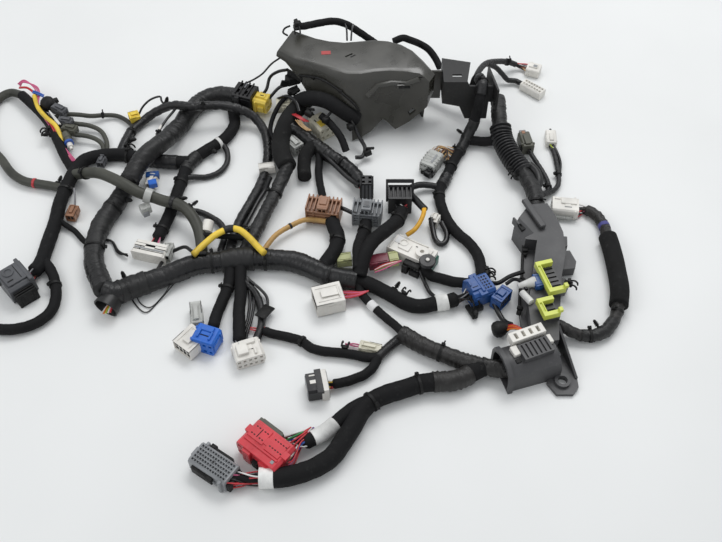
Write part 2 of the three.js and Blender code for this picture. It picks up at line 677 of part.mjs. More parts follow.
function hoodShell(distance, lift) {
  return loft(hoodLevels.map(([z, drawn, share]) => inset(hoodPlan, drawn + distance)
    .map((corner) => {
      const [x, y] = hoodPoint(corner, z, share);
      return [x, y, z > 0 ? z - lift : -2 * lift];
    })));
}

// The outer face of the hood's front wall at a place along it and a height.
function hoodFaceRow(x, z) {
  const i = hoodFront.findIndex((corner) => corner[0] < x);
  const [right, left] = [hoodFront[Math.max(i - 1, 0)], hoodFront[Math.max(i, 1)]];
  const row = THREE.MathUtils.mapLinear(x, left[0], right[0], left[1], right[1]);
  return row - hood.lean * (1 - z / hood.height);
}

function hoodSolid() {
  const behind = 420;
  const ahead = 200;
  let shell = hoodShell(0, 0).subtract(hoodShell(wall, wall));
  shell = shell.subtract(curtain([...armHem, [hood.armTo, -10], [-140, -10]], ahead, behind));
  shell = shell.subtract(curtain([...frontHem, [130, -10], [-13, -10]], ahead, 305));
  const bead = tube(hoodBead.map(([x, z]) => [x, hoodFaceRow(x, z) + 1.2, z]), hood.bead);
  const window = toSolid(new THREE.BoxGeometry(12, 50, 6).rotateY(-0.75).translate(76, 268, 42));
  const slot = toSolid(new THREE.BoxGeometry(13, 3, 12).rotateZ(0.6).translate(-18, 330, hood.height));
  const clipHole = block([9, 7, 5], [60, hoodFaceRow(60, 82) - 1, 82]);
  const flangeFrom = 99;
  const flangeReach = bracket.left - clearance - flangeFrom;
  const flange = block([flangeReach, 3, 52], [flangeFrom + flangeReach / 2, 314, 58]);
  return shell.add(bead.subtract(hoodShell(wall, wall))).add(flange)
    .subtract(clipHole).subtract(window).subtract(slot);
}

function bracketSolid() {
  const t = bracket.thickness;
  const face = curtain(bracketFace, bracket.front - t, bracket.front);
  const plate = prism([
    [bracket.left, bracket.front - t], [156, bracket.front - t], [164, 326], [bracket.left, 336],
  ], bracket.top - t, bracket.top);
  const leftWall = prism([
    [bracket.left, bracket.front - t], [bracket.left + t, bracket.front - t],
    [bracket.left + t, 334], [bracket.left, 334],
  ], bracketFace[0][1], bracket.top);
  const wingShape = new THREE.Shape(bracketWing.side.map(([y, z]) => new THREE.Vector2(y, z)));
  const wingPlate = new THREE.ExtrudeGeometry(wingShape, { depth: t, bevelEnabled: false });
  wingPlate.rotateX(Math.PI / 2).rotateZ(Math.PI / 2);
  const wing = placed(toSolid(wingPlate), [...bracketWing.at, 0], bracketWing.heading);
  const passage = block([40, 92, 2 * (bracket.under - 8)], [211, 300, 8]);
  const topSlot = block([14, 5, 10], [142, 296, bracket.top]);
  const slots = [[192, 290, 72], [197, 268, 60]].map((at) => block([16, 5, 10], at));
  return join(face, plate, leftWall, wing).subtract(passage).subtract(cutter('rightCentre'))
    .subtract(topSlot).subtract(join(...slots));
}

// The end piece's section: upright sides under a round top, drawn along its length.
function archPiece(width, height, from, to) {
  const shape = new THREE.Shape();
  const half = width / 2;
  shape.moveTo(-half, 0);
  shape.lineTo(half, 0);
  shape.lineTo(half, height - half * 0.7);
  for (let i = 1; i <= 5; i += 1) {
    const angle = (Math.PI * i) / 6;
    shape.lineTo(half * Math.cos(angle), height - half * 0.7 * (1 - Math.sin(angle)));
  }
  shape.lineTo(-half, height - half * 0.7);
  const geometry = new THREE.ExtrudeGeometry(shape, { depth: to - from, bevelEnabled: false });
  geometry.rotateX(Math.PI / 2).rotateZ(Math.PI / 2).translate(from, 0, 0);
  return placed(toSolid(geometry), [...ductEnd.at, 0], ductEnd.heading);
}

// A block on top of the duct with grooves across it, which leave ridges.
function ridgedBlock({ size, at, heading, ridges }, base, alongX) {
  let body = block(size, [0, 0, size[2] / 2]);
  for (let i = 0; i < ridges; i += 1) {
    const place = (i + 0.5) / ridges - 0.5;
    body = body.subtract(alongX
      ? block([2.4, size[1] - 3, 5], [place * (size[0] - 3), 0, size[2]])
      : block([size[0] - 3, 2.4, 5], [0, place * (size[1] - 3), size[2]]));
  }
  return placed(body, [...at, base], heading);
}

// An upright web in plan from one spot to another, its top sloping from high to low.
function slopedWeb({ from, to, high, low }, thickness = 3) {
  const long = Math.hypot(to[0] - from[0], to[1] - from[1]);
  const shape = new THREE.Shape([
    [0, 1], [long, 1], [long, low], [0, high],
  ].map(([x, z]) => new THREE.Vector2(x, z)));
  const geometry = new THREE.ExtrudeGeometry(shape, { depth: thickness, bevelEnabled: false });
  const turn = THREE.MathUtils.radToDeg(Math.atan2(to[1] - from[1], to[0] - from[0]));
  return placed(toSolid(geometry.rotateX(Math.PI / 2).translate(0, thickness / 2, 0)), [...from, 0], turn);
}

function ductSolid() {
  const { height } = duct;
  const inside = prism(inset(ductOutline, wall), wall, height - wall);
  const endInside = archPiece(ductEnd.width - 2 * wall, ductEnd.height - 2 * wall, -10, ductEnd.length - wall)
    .translate([0, 0, wall]);
  const slope = new THREE.BoxGeometry(60, 40, 40).rotateX(-0.62).translate(0, 20, 0);
  const wing = prism(wingOutline, 0, height)
    .subtract(placed(toSolid(slope), [211, 60, duct.wingEdge + 26], 122));
  const ledge = prism(ledgeOutline, 0, duct.ledge);
  const ridge = prism([[230, 86], [235, 87], [247, 53], [242, 50]], height - 1, height + 4);
  const tabs = join(...tabOutlines.map((outline, i) => prism(outline, 3, 21 - 3 * i)));
  const end = archPiece(ductEnd.width, ductEnd.height, 0, ductEnd.length)
    .add(archPiece(ductEnd.width + 2 * ductEnd.rim, ductEnd.height + ductEnd.rim, 0, ductEnd.collar));
  const plate = prism(footOutline, 0, foot.thickness);
  const boss = upright(foot.bossRadius, 0, foot.bossHeight, foot.hole, 20);
  const hole = upright(foot.holeRadius, -5, foot.bossHeight + 10, foot.hole, 20);
  const entry = block([23.6, 24, 27], [246, 91, 17]);
  const hollow = inside.add(endInside).add(entry);
  const shell = join(prism(ductOutline, 0, height), wing, ledge, ridge, tabs, end, plate, boss,
    ...footWebs.map((web) => slopedWeb(web))).subtract(hollow);
  const fuses = fuseBlocks.map((spec) => ridgedBlock(spec, height - 1, false));
  return join(shell, ...fuses, ridgedBlock(fuseBank, height - 4, true).subtract(hollow)).subtract(hole);
}

// A C-shaped retainer lying on the duct, its back along Y.
function retainerSolid(long, reach) {
  const back = block([6, long, 9], [0, 0, 4.5]);
  const arms = [-1, 1].map((side) => block([reach, 6, 9], [reach / 2, side * (long / 2 - 3), 4.5]));
  const hook = block([5, 6, 5], [reach, -(long / 2 - 3), 11]);
  const groove = block([3, long - 14, 4], [0, 0, 9]);
  return join(back, ...arms, hook).subtract(groove);
}

function fuseFrameSolid() {
  const outer = block([46, 14, 12], [0, 0, 6]);
  const slots = [-15, -5, 5, 15].map((x) => block([3.9, 8, 12], [x, 0, 11]));
  return outer.subtract(join(...slots));
}

// Bends a lathe, whose height runs from 0 to 1, along a stretch of the right trunk.
function bendRoundTrunk(profile) {
  const geometry = new THREE.LatheGeometry(profile, conduit.sides);
  const curve = new THREE.CatmullRomCurve3(
    routes.rightTrunk.map((point) => new THREE.Vector3(...point)), false, 'catmullrom', 0.5);
  const spots = geometry.attributes.position;
  const up = new THREE.Vector3(0, 0, 1);
  for (let i = 0; i < spots.count; i += 1) {
    const along = conduit.from + (conduit.to - conduit.from) * spots.getY(i);
    const centre = curve.getPointAt(along);
    const forward = curve.getTangentAt(along);
    const across = new THREE.Vector3().crossVectors(forward, up).normalize();
    const over = new THREE.Vector3().crossVectors(across, forward);
    centre.addScaledVector(across, spots.getX(i)).addScaledVector(over, spots.getZ(i));
    spots.setXYZ(i, centre.x, centre.y, centre.z);
  }
  return geometry;
}

// Corrugated conduit: rings and grooves outside, a smooth bore inside.
function conduitSolid() {
  const outer = conduit.outer / 2;
  const inner = conduit.inner / 2;
  const groove = outer - conduit.grooveDepth;
  const profile = [new THREE.Vector2(inner, 0)];
  const step = 1 / conduit.rings;
  for (let i = 0; i < conduit.rings; i += 1) {
    const start = i * step;
    profile.push(new THREE.Vector2(outer, start));
    profile.push(new THREE.Vector2(outer, start + step * 0.55));
    if (i < conduit.rings - 1) {
      profile.push(new THREE.Vector2(groove, start + step * 0.65));
      profile.push(new THREE.Vector2(groove, start + step * 0.9));
    }
  }
  const end = 1 - step * 0.45;
  for (let i = 6; i >= 0; i -= 1) {
    profile.push(new THREE.Vector2(inner, end * i / 6));
  }
  return bendRoundTrunk(profile);
}

function conduitEnvelope() {
  const radius = conduit.outer / 2 + 2 * clearance;
  const profile = [new THREE.Vector2(0, 0)];
  for (let i = 0; i <= conduit.rings; i += 1) {
    profile.push(new THREE.Vector2(radius, i / conduit.rings));
  }
  profile.push(new THREE.Vector2(0, 1));
  return toSolid(bendRoundTrunk(profile));
}

const group = new THREE.Group();
group.position.set(...layoutShift);

const tape = { color: 0x222224, roughness: 0.55, metalness: 0 };
const foam = { color: 0x2b2b2c, roughness: 0.95, metalness: 0 };
const moulded = { color: 0x3a3a3a, roughness: 0.6, metalness: 0 };

function place(name, solid, finish, at = [0, 0, 0], heading = 0) {
  const geometry = solid.isBufferGeometry ? solid : toGeometry(solid);
  const mesh = new THREE.Mesh(geometry, new THREE.MeshStandardMaterial(finish));
  mesh.name = name;
  mesh.position.set(...at);
  mesh.rotation.z = THREE.MathUtils.degToRad(heading);
  group.add(mesh);
  return mesh;
}

function placed(solid, at, heading = 0) {
  return solid.rotate([0, 0, heading]).translate(at);
}

for (const [name, spec] of Object.entries(housings)) {
  place(name, housingSolid(spec), { color: spec.colour, roughness: 0.5, metalness: 0 },
    spec.at, spec.heading);
}
for (const [name, spec] of Object.entries(finned)) {
  place(name, finnedSolid(spec), { color: spec.colour, roughness: 0.5, metalness: 0 },
    spec.at, spec.heading);
}
place('connector_black_lever', leverBlockSolid(), { color: 0x1b1b1d, roughness: 0.5 }, leverBlock.at);
const leverMesh = place('lever_black', leverSolid(), { color: 0x202023, roughness: 0.5 },
  [leverBlock.at[0], leverBlock.at[1], leverBlock.pivotHeight]);
leverMesh.rotation.x = THREE.MathUtils.degToRad(lever.open);
place('module_white', moduleSolid(), { color: 0xdedad0, roughness: 0.5 }, moduleBody.at,
  moduleBody.heading);
place('hood_cover', hoodSolid(), { color: 0x3b3b37, roughness: 0.55 });
place('bracket_plate', bracketSolid(), moulded);
place('duct_channel', ductSolid(), { color: 0x5c5c5e, roughness: 0.6 });
place('retainer_upper', retainerSolid(50, 20), { color: 0xc9d44c, roughness: 0.4 },
  [234, -48, duct.height + fuseBlocks[0].size[2] - 1 + clearance], fuseBlocks[0].heading);
place('retainer_lower', retainerSolid(28, 19), { color: 0xc9d44c, roughness: 0.4 },
  [226, -96, duct.height + fuseBlocks[1].size[2] - 1 + clearance], fuseBlocks[1].heading);
place('fuse_frame', fuseFrameSolid(), { color: 0xe0ded6, roughness: 0.5 },
  [203, -131, duct.height + clearance], fuseBank.heading);
place('conduit_corrugated', conduitSolid(), { color: 0x242426, roughness: 0.6 });

const around = {};
for (const [name, spec] of Object.entries(housings)) {
  around[name] = placed(housingEnvelope(spec), spec.at, spec.heading);
}
for (const [name, spec] of Object.entries(finned)) {
  around[name] = placed(blockEnvelope(spec.size), spec.at, spec.heading);
}
around.connector_black_lever = placed(blockEnvelope(leverBlock.size), leverBlock.at);
around.module_white = placed(blockEnvelope(moduleBody.size), moduleBody.at, moduleBody.heading);

// Each loom: the runs joined in it, and what it is trimmed by, housings or other runs.
function loom(name, runs, trimmedBy, finish = tape) {
  let solid = join(...runs);
  for (const other of trimmedBy) {
    solid = solid.subtract(typeof other === 'string' ? around[other] : other);
  }
  place(name, solid, finish);
}

loom('trunk_main', [run('trunk')], []);
loom('trunk_blue', [run('trunkBlue')], [cutter('trunk'), 'connector_blue']);
loom('loom_left_inner', [run('leftInner')], [cutter('trunk'), 'relay_box']);
loom('loom_left_outer', [run('leftOuter')], [cutter('fan'), 'connector_left_grey']);
loom('loom_upper_left', [run('upperLeft')], [cutter('leftOuter'), cutter('trunk')]);
loom('foam_loop', [run('foamLoop'), run('creamLead')], ['connector_cream'], foam);
loom('loom_centre_drop', [run('centreDrop')], [cutter('foamLoop'), cutter('trunk')]);
loom('loom_fan', [run('fan'), run('fanLoop'), run('fanBranch')],
  [cutter('leftInner'), cutter('trunk'), 'connector_fan', 'relay_box']);
loom('tube_olive', [run('olive')], [cutter('leftOuter'), cutter('trunk')],
  { color: 0x4a4c46, roughness: 0.6 });
loom('cable_left_loop', [run('leftLoop')], [cutter('leftOuter')]);
loom('cable_left_spurs', [
  run('leftSleeve'), run('tubeUpper', 'smallTube'), run('tubeLower', 'smallTube'),
], [cutter('leftLoop'), cutter('leftOuter'), cutter('upperLeft')]);
loom('cable_lower_left', [run('lowerLeft')], [cutter('leftOuter'), 'connector_left_end', 'connector_left_grey']);
loom('sleeve_yellow', [run('yellowSleeve')], [], { color: 0xddb93c, roughness: 0.45 });
loom('cable_tan', [run('tan')], [cutter('trunk'), cutter('brownLoom')], { color: 0xb8925a, roughness: 0.6 });
loom('loom_hood', [run('hoodLoom'), run('foamSock'), run('brownFeed')],
  [cutter('foamLoop'), 'connector_black_tall', 'connector_brown', 'connector_cream']);
loom('loom_brown', [run('brownLoom')], [cutter('trunk'), 'connector_brown']);
loom('loom_grey_black', [run('greyLoom'), run('blackLoom')],
  [cutter('trunk'), cutter('trunkBlue'), 'connector_grey_finned', 'connector_black_lever']);
loom('cable_upper_right', [run('upperRight'), run('upperRightLower')],
  [cutter('rightCentre'), 'connector_white_upper', 'connector_white_pinned']);
loom('cable_hood_top', [run('hoodTop')], [cutter('rightCentre'), cutter('upperRight')]);
loom('loom_right_centre', [run('rightCentre'), run('rightToBlack'), run('clearLead')],
  ['connector_blue', 'connector_black_lever', 'connector_clear_right']);
loom('cable_right_cross', [run('rightCross')], [conduitEnvelope(), cutter('rightTrunk'), cutter('rightCentre')]);
loom('trunk_right', [run('rightTrunk')], []);
loom('cable_duct_leads', [run('leadSingle', 'ductLead'), run('leadPair', 'ductLead')],
  [cutter('rightTrunk'), 'connector_lead_olive', 'connector_lead_white', 'connector_return']);
loom('cable_return', [
  run('returnUpper', 'returnCable'), run('returnFoam'), run('returnLower'),
], ['connector_return', prism(inset(ductOutline, -clearance), -1, duct.height + 1)]);
loom('cable_module', [run('moduleCable')], ['module_white', 'connector_blue']);
loom('loom_duct', [run('ductLoom'), run('tagCable')], [cutter('trunkBlue'), cutter('trunk')]);
loom('loom_lower', [run('loomLower'), run('loomRed')],
  [cutter('ductLoom'), 'connector_red', 'connector_pin_grey']);
loom('loom_drops', [run('dropLeft'), run('dropCentre'), run('dropRight')],
  [cutter('trunk'), 'connector_blue_lower', 'connector_white_lower']);
loom('cable_lower_centre', [run('lowerCentre'), run('lowerCentreUp', 'lowerCentre'),
  run('lowerCentreDown', 'lowerCentre')],
[cutter('dropRight'), cutter('ductLoom'), 'connector_striped']);

export default group;
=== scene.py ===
import json
import math
import bmesh
import bpy
import numpy as np
from mathutils import Matrix, Vector, noise


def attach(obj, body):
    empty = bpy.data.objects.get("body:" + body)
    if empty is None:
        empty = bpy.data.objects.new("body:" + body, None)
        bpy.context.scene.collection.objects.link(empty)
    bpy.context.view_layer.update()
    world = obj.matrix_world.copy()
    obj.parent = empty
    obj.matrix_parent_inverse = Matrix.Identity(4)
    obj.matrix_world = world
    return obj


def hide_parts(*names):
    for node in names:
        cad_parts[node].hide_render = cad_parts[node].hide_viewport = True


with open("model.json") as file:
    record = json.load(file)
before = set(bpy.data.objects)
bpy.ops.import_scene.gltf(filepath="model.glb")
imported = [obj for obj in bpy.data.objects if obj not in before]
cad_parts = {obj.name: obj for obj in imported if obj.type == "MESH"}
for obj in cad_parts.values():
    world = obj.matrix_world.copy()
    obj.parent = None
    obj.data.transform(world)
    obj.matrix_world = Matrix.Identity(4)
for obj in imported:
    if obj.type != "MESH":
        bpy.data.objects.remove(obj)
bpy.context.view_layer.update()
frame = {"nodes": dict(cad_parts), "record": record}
nodes = frame["nodes"]
print("frame loaded:", len(nodes), "nodes")

scene = bpy.context.scene
scene.view_settings.view_transform = "Standard"
main = "harness"                       # the body that all but the lever ride on
tableShift = Vector((0.11614, -0.0518, 0))  # the layout's own zero, from the middle of the footprint


# millimetres of the layout to metres of the frame
def spot(x, y, z):
    return Vector((x / 1000, y / 1000, z / 1000)) + tableShift


# camera
cameraValues = dict(back=0.749, height=0.959, focalPixels=900, imageWidth=722, sensor=36)

cameraData = bpy.data.cameras.new("viewCamera")
cameraData.sensor_width = cameraValues["sensor"]
cameraData.lens = cameraValues["sensor"] * cameraValues["focalPixels"] / cameraValues["imageWidth"]
cameraData.clip_end = 20
camera = bpy.data.objects.new("viewCamera", cameraData)
camera.location = tableShift + Vector((0, -cameraValues["back"], cameraValues["height"]))
camera.rotation_euler = (tableShift - camera.location).to_track_quat("-Z", "Y").to_euler()
scene.collection.objects.link(camera)
scene.camera = camera


# materials
def newMaterial(name):
    material = bpy.data.materials.new(name)
    material.use_nodes = True
    tree = material.node_tree
    return material, tree, tree.nodes["Principled BSDF"]


def addNode(tree, kind, inputs=None, **values):
    node = tree.nodes.new(kind)
    for key, value in values.items():
        setattr(node, key, value)
    for key, value in (inputs or {}).items():
        if isinstance(value, bpy.types.NodeSocket):
            tree.links.new(value, node.inputs[key])
        else:
            node.inputs[key].default_value = value
    return node


def tinted(colour, factor):
    return tuple(min(1, channel * factor) for channel in colour) + (1,)


# a colour that wanders between two
def varied(tree, vector, scale, low, high, detail=3):
    cloud = addNode(tree, "ShaderNodeTexNoise", {"Vector": vector, "Scale": scale, "Detail": detail})
    ramp = addNode(tree, "ShaderNodeValToRGB", {"Fac": cloud.outputs["Fac"]})
    ramp.color_ramp.elements[0].position = 0.32
    ramp.color_ramp.elements[1].position = 0.68
    ramp.color_ramp.elements[0].color = low
    ramp.color_ramp.elements[1].color = high
    return ramp.outputs["Color"], cloud.outputs["Fac"]


def plasticMaterial(name, colour, roughness=0.42, grain=1100, depth=0.00004, dust=0.1, clear=0.0, mirror=0.5):
    material, tree, shader = newMaterial(name)
    coords = addNode(tree, "ShaderNodeTexCoord").outputs["Object"]
    base, cloud = varied(tree, coords, 38, tinted(colour, 0.86), tinted(colour, 1.12))
    specks = addNode(tree, "ShaderNodeTexNoise", {"Vector": coords, "Scale": 260, "Detail": 6})
    dusty = addNode(tree, "ShaderNodeMapRange", {"Value": specks.outputs["Fac"], "From Min": 0.55,
                                                 "From Max": 0.8, "To Min": 0.0, "To Max": dust})
    mix = addNode(tree, "ShaderNodeMix", data_type="RGBA")
    tree.links.new(dusty.outputs["Result"], mix.inputs[0])
    tree.links.new(base, mix.inputs[6])
    mix.inputs[7].default_value = (0.42, 0.4, 0.37, 1)
    tree.links.new(mix.outputs[2], shader.inputs["Base Color"])
    rough = addNode(tree, "ShaderNodeMapRange", {"Value": cloud, "From Min": 0.3, "From Max": 0.7,
                                                 "To Min": roughness - 0.07, "To Max": roughness + 0.09})
    tree.links.new(rough.outputs["Result"], shader.inputs["Roughness"])
    fine = addNode(tree, "ShaderNodeTexNoise", {"Vector": coords, "Scale": grain, "Detail": 2})
    bump = addNode(tree, "ShaderNodeBump", {"Height": fine.outputs["Fac"], "Strength": 0.6,
                                            "Distance": depth})
    tree.links.new(bump.outputs["Normal"], shader.inputs["Normal"])
    shader.inputs["IOR"].default_value = 1.5
    shader.inputs["Specular IOR Level"].default_value = mirror
    if clear:
        shader.inputs["Transmission Weight"].default_value = clear
    return material


# tape, cloth tape or foam on a loom: reads the piece's own UV, in metres along and turns around
def wrapMaterial(name, colour, roughness, wrinkle, weave=0.0, grey=0.1, mirror=0.3):
    material, tree, shader = newMaterial(name)
    uv = addNode(tree, "ShaderNodeUVMap", uv_map="wrap").outputs["UV"]
    coords = addNode(tree, "ShaderNodeTexCoord").outputs["Object"]
    base, cloud = varied(tree, coords, 30, tinted(colour, 0.7), tinted(colour, 1.45), 5)
    scuff = addNode(tree, "ShaderNodeTexNoise", {"Vector": coords, "Scale": 140, "Detail": 7,
                                                 "Roughness": 0.7})
    scuffed = addNode(tree, "ShaderNodeMapRange", {"Value": scuff.outputs["Fac"], "From Min": 0.56,
                                                   "From Max": 0.78, "To Min": 0.0, "To Max": grey})
    mix = addNode(tree, "ShaderNodeMix", data_type="RGBA")
    tree.links.new(scuffed.outputs["Result"], mix.inputs[0])
    tree.links.new(base, mix.inputs[6])
    mix.inputs[7].default_value = (0.2, 0.2, 0.19, 1)
    tree.links.new(mix.outputs[2], shader.inputs["Base Color"])
    rough = addNode(tree, "ShaderNodeMapRange", {"Value": cloud, "From Min": 0.3, "From Max": 0.7,
                                                 "To Min": roughness - 0.08, "To Max": roughness + 0.1})
    tree.links.new(rough.outputs["Result"], shader.inputs["Roughness"])
    stretch = addNode(tree, "ShaderNodeMapping", {"Vector": uv, "Rotation": (0, 0, 0.35),
                                                  "Scale": (5, 420, 1)})
    creases = addNode(tree, "ShaderNodeTexNoise", {"Vector": stretch.outputs["Vector"], "Scale": 1.6,
                                                   "Detail": 4, "Roughness": 0.6})
    height = creases.outputs["Fac"]
    if weave:
        cells = addNode(tree, "ShaderNodeTexNoise", {"Vector": coords, "Scale": weave, "Detail": 3})
        height = addNode(tree, "ShaderNodeMath", {0: height, 1: cells.outputs["Fac"]},
                         operation="ADD").outputs["Value"]
    bump = addNode(tree, "ShaderNodeBump", {"Height": height, "Strength": 0.9, "Distance": wrinkle})
    tree.links.new(bump.outputs["Normal"], shader.inputs["Normal"])
    shader.inputs["Specular IOR Level"].default_value = mirror
    return material


materials = {
    "tape": wrapMaterial("vinylTape", (0.0085, 0.0085, 0.009), 0.3, 0.0008, grey=0.07, mirror=0.42),
    "dullTape": wrapMaterial("dullTape", (0.012, 0.012, 0.012), 0.38, 0.0009, grey=0.12, mirror=0.4),
    "brownTape": wrapMaterial("wornTape", (0.016, 0.0148, 0.0138), 0.38, 0.0011, grey=0.16, mirror=0.45),
    "cloth": wrapMaterial("clothTape", (0.008, 0.008, 0.0085), 0.75, 0.0003, 1500, 0.08, 0.2),
    "foam": wrapMaterial("foamSleeve", (0.013, 0.013, 0.013), 0.92, 0.0004, 900, 0.12, 0.2),
    "oliveTube": wrapMaterial("oliveTube", (0.045, 0.046, 0.037), 0.5, 0.0001, grey=0.14, mirror=0.4),
    "yellowTube": wrapMaterial("yellowTube", (0.72, 0.5, 0.06), 0.38, 0.00012, grey=0.1),
    "tanTube": wrapMaterial("tanTube", (0.46, 0.28, 0.1), 0.45, 0.0003, grey=0.15),
    "band": wrapMaterial("whiteBand", (0.66, 0.66, 0.64), 0.55, 0.0004, grey=0.25),
    "violet": wrapMaterial("violetBand", (0.07, 0.07, 0.24), 0.5, 0.0003, grey=0.15),
    "red_plastic": plasticMaterial("redHousing", (0.6, 0.035, 0.05), 0.34),
    "pin_grey": plasticMaterial("greyHousing", (0.27, 0.28, 0.29), 0.45),
    "blue_plastic": plasticMaterial("blueHousing", (0.014, 0.075, 0.27), 0.4),
    "bright_blue": plasticMaterial("brightBlueHousing", (0.012, 0.13, 0.56), 0.38),
    "brown_plastic": plasticMaterial("brownHousing", (0.3, 0.15, 0.085), 0.42),
    "fin_grey": plasticMaterial("finnedGreyHousing", (0.18, 0.19, 0.2), 0.42),
    "dark_grey": plasticMaterial("darkGreyHousing", (0.085, 0.088, 0.095), 0.45),
    "black_plastic": plasticMaterial("blackHousing", (0.009, 0.009, 0.01), 0.36, dust=0.06, mirror=0.4),
    "yellow_plastic": plasticMaterial("yellowHousing", (0.76, 0.56, 0.07), 0.4),
    "olive_plastic": plasticMaterial("oliveHousing", (0.085, 0.085, 0.065), 0.45),
    "white_plastic": plasticMaterial("whiteHousing", (0.74, 0.72, 0.67), 0.38, dust=0.2),
    "cream_plastic": plasticMaterial("creamHousing", (0.68, 0.65, 0.52), 0.42, dust=0.2),
    "clear_plastic": plasticMaterial("clearHousing", (0.62, 0.63, 0.6), 0.3, clear=0.35),
    "retainer": plasticMaterial("retainerPlastic", (0.62, 0.68, 0.1), 0.36),
    "hood": plasticMaterial("hoodPlastic", (0.038, 0.037, 0.03), 0.3, 500, 0.00003, 0.015, mirror=0.75),
    "bracket": plasticMaterial("bracketPlastic", (0.018, 0.018, 0.018), 0.45, 700, 0.00006, 0.04, mirror=0.4),
    # black rubber of ties and clips; the same dark finish also paints the shade of holes, slits and grooves
    # on housings
    "rubber": plasticMaterial("blackRubber", (0.008, 0.008, 0.008), 0.6, 500, 0.0001, 0.08, mirror=0.3),
    "label": plasticMaterial("bareLabel", (0.72, 0.72, 0.72), 0.6, 300, 0.00005, 0.1, mirror=0.3),
    "lime": plasticMaterial("limeHousing", (0.42, 0.44, 0.2), 0.42),
    "maroon": plasticMaterial("maroonHousing", (0.16, 0.012, 0.03), 0.4),
    "module_green": plasticMaterial("greenHousing", (0.012, 0.11, 0.075), 0.4),
    "sticker": plasticMaterial("bareSticker", (0.4, 0.05, 0.05), 0.5, 300, 0.00003, 0.15),
    "duct": plasticMaterial("ductPlastic", (0.058, 0.058, 0.06), 0.48, 600, 0.00006, 0.06),
    "conduit": plasticMaterial("conduitPlastic", (0.011, 0.011, 0.012), 0.34, 700, 0.00006, 0.08,
        mirror=0.45),
}
wireColours = {
    "red": (0.5, 0.03, 0.04), "pink": (0.55, 0.1, 0.22), "black": (0.012, 0.012, 0.013),
    "white": (0.7, 0.7, 0.68), "yellow": (0.75, 0.52, 0.05), "green": (0.03, 0.22, 0.06),
    "blue": (0.03, 0.1, 0.4), "orange": (0.7, 0.2, 0.02), "brown": (0.16, 0.06, 0.03),
    "grey": (0.22, 0.22, 0.23), "violet": (0.14, 0.05, 0.3), "lime": (0.4, 0.5, 0.05),
    "tan": (0.48, 0.3, 0.13), "sky": (0.2, 0.42, 0.6),
}
for wireName, wireColour in wireColours.items():
    materials["wire_" + wireName] = plasticMaterial(wireName + "Wire", wireColour, 0.35, dust=0.04)
print("materials made:", len(materials))


